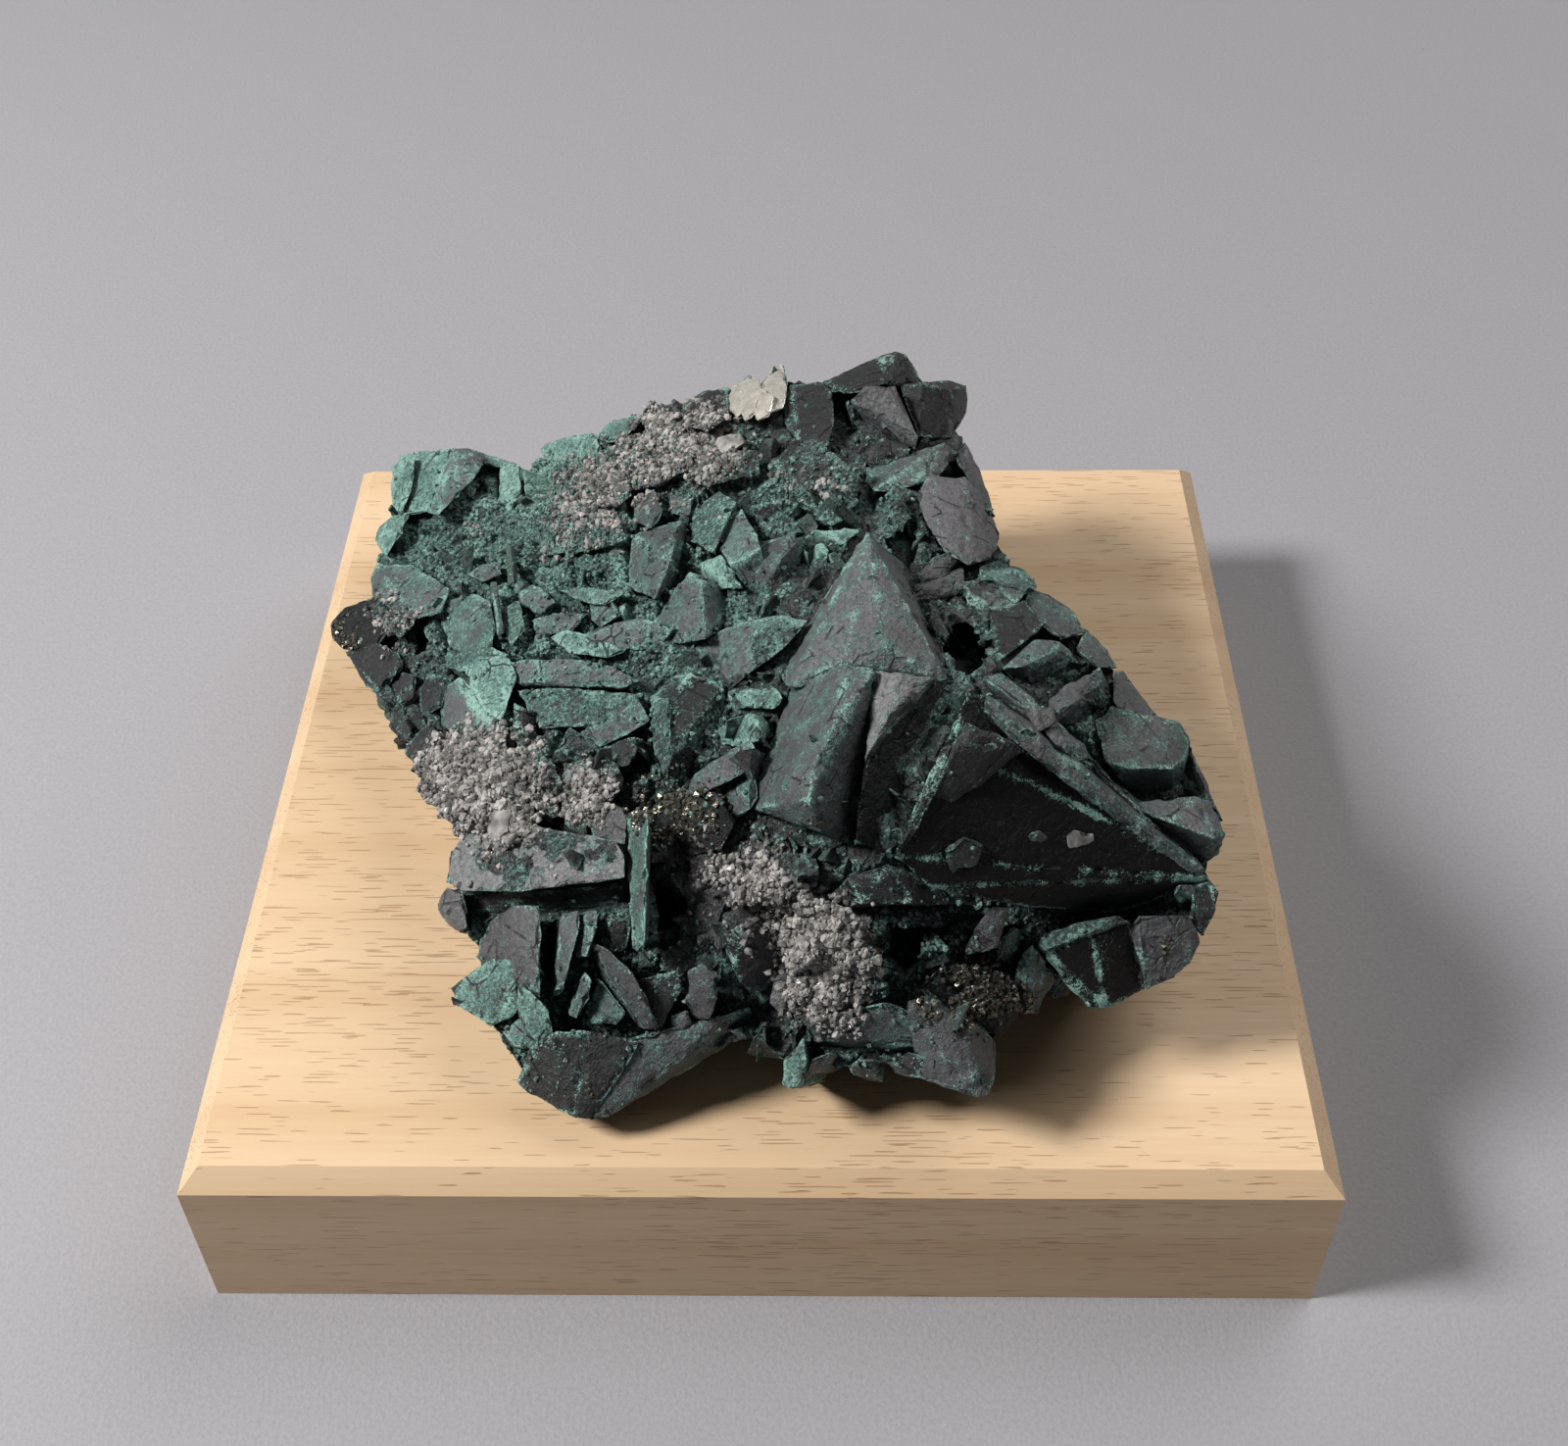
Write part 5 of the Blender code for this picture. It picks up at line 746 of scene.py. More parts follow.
class Rock:
    """The model's own surface, merged, in mm: what every piece grows on and is hidden by."""

    RAYS = 8
    LOWEST_RAY = 0.12
    RAY_SPAN = 0.83
    GRAZING = 0.05
    VIEW_START = 0.3
    VIEW_REACH = 60.0
    SHADE_START = 0.22
    SHADE_STRENGTH = 1.5
    DEEPEST = 3.0

    def __init__(self, node: bpy.types.Object) -> None:
        """Merge a copy of the model's mesh and build its search tree.

        Args:
            node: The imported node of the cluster.
        """
        self.mesh = bmesh.new()
        self.mesh.from_mesh(node.data)
        bmesh.ops.remove_doubles(self.mesh, verts=self.mesh.verts, dist=1e-7)
        bmesh.ops.scale(self.mesh, vec=(1 / MM,) * 3, verts=self.mesh.verts)
        self.tree = BVHTree.FromBMesh(self.mesh)
        self.rays = self.cap_directions(self.RAYS)
        self.large = self.tree_over(set(Finish))
        self.clean = self.tree_over({Finish.QUARTZ, Finish.BLACK_AND_SHADED, Finish.PALE})
        self.skin = self.tree
        self.free = KDTree(0)

    @staticmethod
    def tree_over(kinds: set[Finish]) -> BVHTree:
        """Return a search tree over the named crystals of some kinds.

        Args:
            kinds: Which kinds.

        Returns:
            The tree, in mm.
        """
        corners, faces = [], []
        for row in (row for rows in GROUPS.values() for row in rows):
            crystal = Crystal(*row)
            if crystal.finish in kinds:
                bm = crystal.hull()
                bm.verts.index_update()
                faces.extend([len(corners) + vert.index for vert in face.verts] for face in bm.faces)
                corners.extend(vert.co.copy() for vert in bm.verts)
                bm.free()
        return BVHTree.FromPolygons(corners, faces)

    def note_free(self, places: list[Vector]) -> None:
        """Keep the places where rock lies bare between the named crystals.

        Args:
            places: The places in mm.
        """
        self.free = KDTree(len(places))
        for index, place in enumerate(places):
            self.free.insert(place, index)
        self.free.balance()

    def from_free(self, point: Vector) -> float:
        """Return how far a point lies from bare rock, in mm."""
        found = self.free.find(point)
        return FAR if found[2] is None else found[2]

    def visible(self, u: float, v: float) -> tuple[Vector | None, Vector | None]:
        """Find what a pixel shows: the skin between the crystals, or a crystal.

        Args:
            u: Pixel column.
            v: Pixel row.

        Returns:
            The place and the direction away from the surface, or None twice.
        """
        aim = CAMERA.sight(u, v).normalized()
        hits = [tree.ray_cast(CAMERA_PLACE, aim) for tree in (self.skin, self.large)]
        hits = [hit for hit in hits if hit[0] is not None]
        if not hits:
            return None, None
        place, normal, _, _ = min(hits, key=lambda hit: hit[3])
        return place, normal if normal.dot(aim) < 0 else -normal

    def open_to_camera(self, point: Vector, normal: Vector) -> bool:
        """Say whether a place on the surface is seen from the photograph's side.

        Args:
            point: The place.
            normal: Direction away from the surface there.

        Returns:
            True where nothing stands before it.
        """
        aim = (CAMERA_PLACE - point).normalized()
        if normal.dot(aim) < self.GRAZING:
            return False
        return self.tree.ray_cast(point + normal * self.VIEW_START, aim, self.VIEW_REACH)[0] is None

    @classmethod
    def cap_directions(cls, count: int) -> list[Vector]:
        """Spread directions evenly over the upper half of a sphere.

        Args:
            count: How many.

        Returns:
            The directions.
        """
        golden = math.pi * (3 - math.sqrt(5))
        found = []
        for index in range(count):
            height = cls.LOWEST_RAY + cls.RAY_SPAN * (index + 0.5) / count
            flat = math.sqrt(1 - height * height)
            found.append(Vector((flat * math.cos(golden * index), flat * math.sin(golden * index), height)))
        return found

    def depth_of(self, point: Vector) -> float:
        """Return how far a point lies from the model's surface, in mm.

        Args:
            point: The point.

        Returns:
            The distance, up to a few mm.
        """
        distance = self.tree.find_nearest(point, self.DEEPEST)[3]
        return self.DEEPEST if distance is None else distance

    def near_surface(self, first: Vector, last: Vector, buried: float = 0.9) -> bool:
        """Say whether a line between two places comes near the model's surface.

        Args:
            first: One end.
            last: The other end.
            buried: How far from the surface a line is buried, in mm.

        Returns:
            True where it comes near.
        """
        return min(self.depth_of(spot) for spot in (first, last, (first + last) / 2)) < buried

    def shade(self, point: Vector, normal: Vector, reach: float = 4.5) -> float:
        """Say how far a place is shut in by what stands round it.

        Args:
            point: The place.
            normal: Direction away from the surface there.
            reach: How far away something still counts, in mm.

        Returns:
            0 in the open and 1 deep in a crack.
        """
        turn = normal.to_track_quat("Z", "Y")
        start = point + normal * self.SHADE_START
        total = 0.0
        for ray in self.rays:
            hit = self.tree.ray_cast(start, turn @ ray, reach)
            if hit[0] is not None:
                total += 1.0 - hit[3] / reach
        return min(1.0, total / len(self.rays) * self.SHADE_STRENGTH)


LAYERS = ("coat", "shade", "rim", "tone", "white", "kind", "grit")


def link(name: str, data: bpy.types.ID) -> bpy.types.Object:
    """Make an object of a mesh, lamp or camera and put it in the scene."""
    obj = bpy.data.objects.new(name, data)
    bpy.context.scene.collection.objects.link(obj)
    return obj


def grown_piece(name: str, mesh: bpy.types.Mesh, material: bpy.types.Material) -> bpy.types.Object:
    """Make a piece that rides on the body and stands for the cluster.

    Args:
        name: The piece's name.
        mesh: Its mesh, in metres.
        material: Its finish.

    Returns:
        The object.
    """
    mesh.materials.append(material)
    obj = link(name, mesh)
    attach(obj, BODY)
    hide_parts(CLUSTER)
    LOG.info("%s: %d triangles", name, sum(len(face.vertices) - 2 for face in mesh.polygons))
    return obj


class Skin:
    """One piece's mesh in the making, with what its finish reads from each corner."""

    def __init__(self, name: str) -> None:
        """Start an empty piece.

        Args:
            name: The piece's name.
        """
        self.name = name
        self.mesh = bmesh.new()
        self.layers_of(self.mesh)

    @staticmethod
    def layers_of(bm: bmesh.types.BMesh) -> dict[str, bmesh.types.BMLayerItem]:
        """Find or make the number layers of a mesh.

        Args:
            bm: The mesh.

        Returns:
            The layers by name.
        """
        for name in LAYERS:
            if bm.verts.layers.float.get(name) is None:
                bm.verts.layers.float.new(name)
        return {name: bm.verts.layers.float[name] for name in LAYERS}

    def add(self, bm: bmesh.types.BMesh) -> None:
        """Join a finished solid to the piece and free it.

        Args:
            bm: The solid.
        """
        spare = bpy.data.meshes.new("spare")
        bm.to_mesh(spare)
        bm.free()
        self.mesh.from_mesh(spare)
        bpy.data.meshes.remove(spare)

    def finish(self, material: bpy.types.Material) -> bpy.types.Object:
        """Turn the piece into an object, shaded with its facets.

        Args:
            material: Its finish.

        Returns:
            The object.
        """
        bmesh.ops.scale(self.mesh, vec=(MM,) * 3, verts=self.mesh.verts)
        for face in self.mesh.faces:
            face.smooth = False
        mesh = bpy.data.meshes.new(self.name)
        self.mesh.to_mesh(mesh)
        self.mesh.free()
        return grown_piece(self.name, mesh, material)


# How often long edges are halved at most
REFINE_ROUNDS = 7


def refine(bm: bmesh.types.BMesh, limit: float, wanted: Callable[[Vector, Vector], bool]) -> None:
    """Divide a solid's long edges until they are short, where that is wanted.

    Args:
        bm: The solid.
        limit: Longest edge in mm.
        wanted: Says whether an edge between two places is to be divided.
    """
    bmesh.ops.triangulate(bm, faces=bm.faces)
    for _ in range(REFINE_ROUNDS):
        long_edges = [edge for edge in bm.edges
                      if edge.calc_length() > limit and wanted(edge.verts[0].co, edge.verts[1].co)]
        if not long_edges:
            break
        bmesh.ops.subdivide_edges(bm, edges=long_edges, cuts=1)
        bmesh.ops.triangulate(bm, faces=[face for face in bm.faces if len(face.verts) > 3])


def segment_distance(points: np.ndarray, starts: np.ndarray, ends: np.ndarray) -> np.ndarray:
    """Return each point's distance to the nearest of some segments.

    Args:
        points: Points, one a row.
        starts: Segment starts, one a row.
        ends: Segment ends, one a row.

    Returns:
        The distances.
    """
    best = np.full(len(points), FAR)
    for start, end in zip(starts, ends):
        along = end - start
        share = np.clip((points - start) @ along / max(along @ along, TINY), 0, 1)
        best = np.minimum(best, np.linalg.norm(points - start - share[:, None] * along, axis=1))
    return best


@dataclass
class Crystal:
    """One sharp crystal of the cluster, sunk into the rock away from the viewer."""

    name: str
    depth: float
    finish: Finish
    corners: list[tuple[float, float, float]]
    bevel: float = 0.14
    relief: Relief = CRYSTAL_RELIEF

    def points(self) -> list[Vector]:
        """Return the seen corners and the sunk one behind each of them, in mm."""
        front = [CAMERA.on_bed(u, v, rise) for u, v, rise in self.corners]
        middle = sum(front, Vector()) / len(front)
        lean = noise.noise_vector(middle * 0.9) * SINK_LEAN
        back = []
        for point, (u, v, _) in zip(front, self.corners):
            sunk = point.lerp(middle, SINK_TAPER)
            sunk += (CAMERA.sight(u, v).normalized() + lean).normalized() * self.depth
            sunk.z = max(sunk.z, UNDERSIDE_HEIGHT)
            back.append(sunk)
        return front + back

    def hull(self) -> bmesh.types.BMesh:
        """Return the convex solid through the crystal's corners."""
        bm = bmesh.new()
        for point in self.points():
            bm.verts.new(point)
        result = bmesh.ops.convex_hull(bm, input=bm.verts)
        spare = {item for item in result["geom_interior"] if isinstance(item, bmesh.types.BMVert)}
        spare |= {item for item in result["geom_unused"] if isinstance(item, bmesh.types.BMVert)}
        bmesh.ops.delete(bm, geom=list(spare), context="VERTS")
        bmesh.ops.remove_doubles(bm, verts=bm.verts, dist=0.02)
        bmesh.ops.dissolve_limit(bm, angle_limit=math.radians(2), verts=bm.verts, edges=bm.edges)
        bmesh.ops.recalc_face_normals(bm, faces=bm.faces)
        return bm

    def build(self, rock: Rock, seed: float) -> bmesh.types.BMesh:
        """Build the crystal with worn edges and a rough skin.

        Args:
            rock: The model's surface.
            seed: A number that sets this crystal's tone.

        Returns:
            The solid, with its number layers.
        """
        return Weathering(rock, self.finish, self.relief, self.bevel, seed).apply(self.hull())


def move_all(bm: bmesh.types.BMesh, moves: list[Vector]) -> None:
    """Move every corner of a mesh, and keep it above the cluster's underside.

    Args:
        bm: The mesh.
        moves: How far each corner moves, in mm.
    """
    for vert, move in zip(bm.verts, moves):
        vert.co += move
        vert.co.z = max(vert.co.z, UNDERSIDE_HEIGHT)


@dataclass
class Weathering:
    """Wears a flat-faced solid and notes on its corners what its finish reads. Sizes in mm."""

    rock: Rock
    finish: Finish
    relief: Relief
    bevel: float
    seed: float
    sharp_angle: float = math.radians(12)
    foot_reach: float = 0.95
    patch_scale: float = 0.45
    rim_width: float = 0.40
    wear_width: float = 0.45
    wear_scale: float = 0.8
    shaded_depth: float = 0.6
    green_share: float = 0.62
    foot_crust: float = 0.42
    white_share: float = 0.8
    foot_base: float = 0.55
    edge_base: float = 0.75
    wear_bias: float = 0.22
    moss_grit: float = 0.55
    clean_grit: float = 0.08
    steps: int = 4

    def apply(self, bm: bmesh.types.BMesh) -> bmesh.types.BMesh:
        """Wear a solid.

        Args:
            bm: The solid.

        Returns:
            The worn solid, with its number layers.
        """
        sharp = [edge for edge in bm.edges if edge.calc_face_angle(0) > self.sharp_angle]
        starts = np.array([edge.verts[0].co for edge in sharp])
        ends = np.array([edge.verts[1].co for edge in sharp])
        bmesh.ops.bevel(bm, geom=sharp, offset=self.bevel, segments=2, profile=0.5, affect="EDGES",
                        clamp_overlap=True, material=-1)
        refine(bm, self.relief.edge_length, self.rock.near_surface)
        bm.normal_update()
        places = np.array([vert.co for vert in bm.verts])
        rims = segment_distance(places, starts, ends)
        self.note(bm, rims, Marks.at(places))
        move_all(bm, [vert.normal * self.height(vert.co, rim) for vert, rim in zip(bm.verts, rims)])
        return bm

    def note(self, bm: bmesh.types.BMesh, rims: np.ndarray, marks: Marks) -> None:
        """Fill the solid's number layers.

        Args:
            bm: The solid.
            rims: Each corner's distance to a sharp edge.
            marks: What the patches say at each corner.
        """
        finish = self.finish
        layers = Skin.layers_of(bm)
        tone = (noise.noise(Vector((self.seed * 3.7, 1.3, 0.4))) + 1) / 2
        for vert, rim, green, white, vein in zip(bm.verts, rims, marks.greens, marks.whites, marks.veins):
            place = vert.co
            patchy = noise.noise(place * self.patch_scale + Vector((2, self.seed, 9)))
            foot = math.exp(-(self.rock.from_free(place) / self.foot_reach) ** 2) * (self.foot_base + patchy)
            edge = math.exp(-(rim / self.rim_width) ** 2)
            vert[layers["coat"]] = finish.crust + green * self.green_share + foot * (self.foot_crust + green)
            vert[layers["rim"]] = edge * finish.edges * (self.edge_base + patchy) + vein * VEIN_STRENGTH
            vert[layers["tone"]] = tone
            vert[layers["white"]] = white * self.white_share
            vert[layers["kind"]] = finish.darkness
            grit = self.clean_grit + max(0.0, foot) / 2
            vert[layers["grit"]] = self.moss_grit if finish is Finish.MOSS else grit
            near = self.rock.depth_of(place) < self.shaded_depth
            vert[layers["shade"]] = self.rock.shade(place, vert.normal) if near else 1.0

    def height(self, place: Vector, rim: float) -> float:
        """Return how far the worn skin stands out at a place, in mm.

        Args:
            place: The place.
            rim: Its distance to a sharp edge.

        Returns:
            The height over the flat face.
        """
        relief = self.relief
        spot = place * relief.swell_scale
        steps = round(noise.noise(spot + Vector((self.seed, 0, 5))) * self.steps) / self.steps
        out = (steps + noise.noise(spot)) * relief.swell / 2
        out += noise.noise(place * relief.grain_scale) * relief.grain
        wear = math.exp(-(rim / self.wear_width) ** 2)
        lost = max(0.0, noise.noise(place * self.wear_scale + Vector((7, 3, self.seed))) + self.wear_bias)
        return out - wear * relief.chip * lost


# Pixels between which the cluster is seen, and a full turn and half a turn for seeded spins
CLUSTER_COLUMNS = (335, 1250)
CLUSTER_ROWS = (355, 1145)
FULL_TURN = 6.3
HALF_TURN = 3.1


@dataclass
class SmallCrystals:
    """Small plates and pyramids that fill what the named crystals leave free, as one piece."""

    name: str
    count: int
    smallest: float
    largest: float
    seed: int
    plate_share: float = 0.6
    stray_share: float = 0.03
    white_limit: float = 0.4
    tries_each: int = 40
    smallness: float = 1.8
    bevel: float = 0.07
    foot_room: float = 1.5
    foot_gap: float = 0.3
    first_tone: int = 300

    def shape(self, rng: random.Random, size: float) -> bmesh.types.BMesh:
        """Return one upright plate or pyramid standing on the origin.

        Args:
            rng: Source of its proportions.
            size: Its length in mm.

        Returns:
            The solid.
        """
        bm = bmesh.new()
        plate = rng.random() < self.plate_share
        bmesh.ops.create_cone(bm, cap_ends=True, segments=4 if plate else 3, radius1=0.62,
                              radius2=rng.uniform(0.05, 0.35), depth=1.0)
        for vert in bm.verts:
            vert.co += Vector((rng.uniform(-0.12, 0.12), rng.uniform(-0.12, 0.12), rng.uniform(-0.1, 0.1)))
        thin = rng.uniform(0.22, 0.42) if plate else rng.uniform(0.7, 1.0)
        bmesh.ops.scale(bm, vec=(size, size * thin, size * rng.uniform(0.8, 1.3)), verts=bm.verts)
        return bm

    def build(self, rock: Rock, finishes: "Finishes") -> bpy.types.Object:
        """Stand the small crystals where a line of sight meets what lies between the named ones.

        Args:
            rock: The model's surface.
            finishes: The materials.

        Returns:
            The piece.
        """
        rng = random.Random(self.seed)
        skin = Skin(self.name)
        made = tries = 0
        while made < self.count and tries < self.count * self.tries_each:
            tries += 1
            u, v = rng.uniform(*CLUSTER_COLUMNS), rng.uniform(*CLUSTER_ROWS)
            spot, normal = rock.visible(u, v)
            if spot is None or spot.z < UNDERSIDE_HEIGHT + self.foot_room:
                continue
            if touches(rock.large, spot, ON_GRAIN) and rng.random() > self.stray_share:
                continue
            if patch_value(WHITE_PATCHES, u, v) > self.white_limit:
                continue
            size = self.smallest + (self.largest - self.smallest) * rng.random() ** self.smallness
            lean = Vector((rng.uniform(-0.8, 0.8), rng.uniform(-1.0, 0.5), rng.uniform(-0.3, 0.7)))
            lean = (normal + lean).normalized()
            bm = self.shape(rng, size)
            turn = lean.to_track_quat("Z", "Y").to_matrix().to_4x4()
            spin = Matrix.Rotation(rng.uniform(0, FULL_TURN), 4, "Z")
            bm.transform(Matrix.Translation(spot + lean * size * 0.02) @ turn @ spin)
            bmesh.ops.recalc_face_normals(bm, faces=bm.faces)
            if any(vert.co.z < UNDERSIDE_HEIGHT + self.foot_gap for vert in bm.verts):
                bm.free()
                continue
            finish = rng.choice((Finish.LILAC, Finish.DUSTED, Finish.MOSS, Finish.GREEN, Finish.DARK_AND_SHADED))
            weathering = Weathering(rock, finish, SMALL_RELIEF, self.bevel, self.first_tone + made)
            skin.add(weathering.apply(bm))
            made += 1
        return skin.finish(finishes.tennantite)


@dataclass
class CrystalGroup:
    """The crystals of one side of the cluster, as one piece."""

    name: str
    rows: list[tuple]
    first: int = 0

    def build(self, rock: Rock, finishes: "Finishes") -> bpy.types.Object:
        """Build the group's crystals, all but its quartz and its pale grey ones.

        Args:
            rock: The model's surface.
            finishes: The materials.

        Returns:
            The piece.
        """
        stone = Skin(self.name)
        for index, row in enumerate(self.rows):
            crystal = Crystal(*row)
            if crystal.finish not in (Finish.QUARTZ, Finish.PALE):
                stone.add(crystal.build(rock, self.first + index))
        return stone.finish(finishes.tennantite)


@dataclass
class RockSkin:
    """The rough skin between the crystals, over the back and underneath. Sizes in mm."""

    name: str = "rock_between_crystals"
    relief: Relief = ROCK_RELIEF
    coarse_edge: float = 1.9
    band: float = 1.4
    lump_scale: float = 0.22
    full_bend: float = 0.9
    crust: float = 0.40
    crust_change: float = 0.35
    tone: float = 0.4
    tone_change: float = 0.3
    shown_ridge: float = 0.4
    hidden_grit: float = 0.5
    darkness: float = 0.35
    hidden_share: float = 0.22
    hidden_sink: float = 0.1
    rise: float = 0.2
    lift: float = 0.75
    fine_cells: float = 0.42
    fine_share: float = 0.34
    climb_scale: float = 0.4
    climb: float = 0.95
    climb_change: float = 1.1
    least_climb: float = 0.15
    creep_height: float = 0.42
    creep_sink: float = 0.12
    creep_rough: float = 0.3
    clean_rough: float = 0.15

    def roughness(self, place: Vector, white: float) -> float:
        """Return how far bare rock stands out at a place, in mm.

        Args:
            place: The place.
            white: How thickly white grains lie there.

        Returns:
            The height over the model's surface.
        """
        relief = self.relief
        lumps = 1.0 + min(1.0, white)
        rough = tilted_cells(place, relief.facet_size) * relief.facet
        fine = tilted_cells(place, relief.facet_size * self.fine_cells) * self.fine_share
        rough += fine * relief.facet * lumps
        rough += noise.noise(place * relief.swell_scale) * relief.swell * lumps
        return rough + abs(noise.noise(place * relief.grain_scale)) * relief.grain * lumps

    def creep(self, place: Vector, rough: float, away: float) -> float:
        """Return how far the crust that climbs a crystal's foot stands out, in mm.

        Args:
            place: A place on a named crystal.
            rough: The roughness there.
            away: Distance to bare rock in mm.

        Returns:
            The height over the model's surface, below zero where the crystal is clean.
        """
        climb = self.climb + self.climb_change * noise.noise(place * self.climb_scale + Vector((5, 1, 8)))
        share = 1.0 - away / max(self.least_climb, climb)
        if share <= 0:
            return rough * self.clean_rough - self.relief.sink
        return rough * self.creep_rough + self.creep_height * share - self.creep_sink

    def build(self, rock: Rock, finishes: "Finishes") -> bpy.types.Object:
        """Divide, roughen and dress a copy of the model's surface.

        Args:
            rock: The model's surface.
            finishes: The materials.

        Returns:
            The piece.
        """
        bm = rock.mesh.copy()
        refine(bm, self.coarse_edge, lambda first, last: True)
        bm.normal_update()
        rock.note_free([vert.co.copy() for vert in bm.verts if not touches(rock.large, vert.co, ON_SKIN)
                        and rock.open_to_camera(vert.co, vert.normal)])
        refine(bm, self.relief.edge_length,
               lambda first, last: rock.from_free((first + last) / 2) < self.band)
        bm.normal_update()
        layers = Skin.layers_of(bm)
        marks = Marks.at(np.array([vert.co for vert in bm.verts]))
        free = [not touches(rock.large, vert.co, ON_SKIN) for vert in bm.verts]
        rock.note_free([vert.co.copy() for vert, bare in zip(bm.verts, free) if bare])
        moves = []
        for index, vert in enumerate(bm.verts):
            place = vert.co
            bend = max((edge.calc_face_angle_signed(0) for edge in vert.link_edges), default=0)
            lump = noise.noise(place * self.lump_scale)
            shown = rock.open_to_camera(place, vert.normal)
            ridge = min(1.0, max(0.0, bend / self.full_bend)) * (self.shown_ridge if shown else 1.0)
            vert[layers["coat"]] = self.crust + marks.greens[index] + lump * self.crust_change
            vert[layers["rim"]] = ridge + marks.veins[index] * VEIN_STRENGTH
            vert[layers["tone"]] = self.tone + lump * self.tone_change
            vert[layers["white"]] = marks.whites[index]
            vert[layers["kind"]] = self.darkness
            vert[layers["grit"]] = 1.0 if shown else self.hidden_grit
            vert[layers["shade"]] = rock.shade(place, vert.normal)
            rough = self.roughness(place, marks.whites[index])
            if not shown:
                out = rough * self.hidden_share - self.hidden_sink
            elif free[index]:
                out = rough + self.rise + self.lift * min(1.0, marks.lifts[index])
            else:
                out = self.creep(place, rough, rock.from_free(place))
            moves.append(vert.normal * out)
        move_all(bm, moves)
        rock.skin = BVHTree.FromBMesh(bm)
        skin = Skin(self.name)
        skin.add(bm)
        return skin.finish(finishes.tennantite)


Socket = bpy.types.NodeSocket


class Graph:
    """Builds the nodes of one material."""

    def __init__(self, name: str) -> None:
        """Start a Principled material.

        Args:
            name: The material's name.
        """
        self.material = bpy.data.materials.new(name)
        self.material.use_nodes = True
        self.tree = self.material.node_tree
        self.shader = self.tree.nodes["Principled BSDF"]
        self.place = self.tree.nodes.new("ShaderNodeTexCoord").outputs["Object"]

    def put(self, socket: Socket, value: object) -> None:
        """Link a socket to another one, or set its number or colour."""
        if isinstance(value, bpy.types.NodeSocket):
            self.tree.links.new(value, socket)
        elif isinstance(value, tuple) and len(value) == 3 and len(socket.default_value) == 4:
            socket.default_value = (*value, 1)
        else:
            socket.default_value = value

    def set(self, name: str, value: object) -> None:
        """Give one input of the shader its number, colour or link."""
        self.put(self.shader.inputs[name], value)

    def layer(self, name: str) -> Socket:
        """Return a number layer of the mesh."""
        node = self.tree.nodes.new("ShaderNodeAttribute")
        node.attribute_name = name
        return node.outputs["Fac"]

    def math(self, kind: str, first: object, second: object = 0.0, clamp: bool = False) -> Socket:
        """Return the result of one sum.

        Args:
            kind: Blender's name of the operation.
            first: Number or socket.
            second: Number or socket.
            clamp: True to keep the result within 0 and 1.

        Returns:
            The result's socket.
        """
        node = self.tree.nodes.new("ShaderNodeMath")
        node.operation = kind
        node.use_clamp = clamp
        self.put(node.inputs[0], first)
        self.put(node.inputs[1], second)
        return node.outputs[0]

    def span(self, value: object, low: float, high: float, bottom: float = 0.0, top: float = 1.0) -> Socket:
        """Return a value eased from one span to another.

        Args:
            value: Number or socket.
            low: Where the value starts to count.
            high: Where it counts in full.
            bottom: Result at low.
            top: Result at high.

        Returns:
            The result's socket.
        """
        node = self.tree.nodes.new("ShaderNodeMapRange")
        node.interpolation_type = "SMOOTHSTEP"
        for socket, number in zip(node.inputs[:5], (value, low, high, bottom, top)):
            self.put(socket, number)
        return node.outputs[0]

    def noise(self, size: float, detail: float = 3.0, rough: float = 0.55,
              place: Socket | None = None) -> Socket:
        """Return cloudy noise with features of about a size in mm.

        Args:
            size: Size of the clouds in mm.
            detail: How many finer layers.
            rough: How strong the finer layers are.
            place: Coordinates, or None for the object's own.

        Returns:
            The noise, around 0.5.
        """
        node = self.tree.nodes.new("ShaderNodeTexNoise")
        self.put(node.inputs["Vector"], place or self.place)
        node.inputs["Scale"].default_value = 1 / (size * MM)
        node.inputs["Detail"].default_value = detail
        node.inputs["Roughness"].default_value = rough
        return node.outputs["Fac"]

    def ripple(self, size: float, detail: float = 3.0, rough: float = 0.55) -> Socket:
        """Return cloudy noise about zero, with features of about a size in mm.

        Args:
            size: Size of the clouds in mm.
            detail: How many finer layers.
            rough: How strong the finer layers are.

        Returns:
            The noise, around 0.
        """
        return self.math("SUBTRACT", self.noise(size, detail, rough), 0.5)

    def sum_of(self, *parts: tuple[Socket, float]) -> Socket:
        """Add several values, each times its own weight.

        Args:
            parts: Values and weights.

        Returns:
            The sum's socket.
        """
        total = None
        for value, weight in parts:
            part = self.math("MULTIPLY", value, weight)
            total = part if total is None else self.math("ADD", total, part)
        return total

    def cells(self, size: float, feature: str = "F1", place: Socket | None = None) -> Socket:
        """Return the distance to scattered points about a size in mm apart.

        Args:
            size: Spacing of the points in mm.
            feature: Blender's name of the feature.
            place: Coordinates, or None for the object's own.

        Returns:
            The distance's socket.
        """
        node = self.tree.nodes.new("ShaderNodeTexVoronoi")
        node.feature = feature
        self.put(node.inputs["Vector"], place or self.place)
        node.inputs["Scale"].default_value = 1 / (size * MM)
        return node.outputs["Distance"]

    def stretched(self, scale: tuple[float, float, float], turn: float) -> Socket:
        """Return the object's coordinates turned about Z and scaled.

        Args:
            scale: Factors along X, Y and Z.
            turn: Turn in radians.

        Returns:
            The coordinates' socket.
        """
        node = self.tree.nodes.new("ShaderNodeMapping")
        node.vector_type = "POINT"
        node.inputs["Rotation"].default_value = (0, 0, turn)
        node.inputs["Scale"].default_value = scale
        self.put(node.inputs["Vector"], self.place)
        return node.outputs[0]

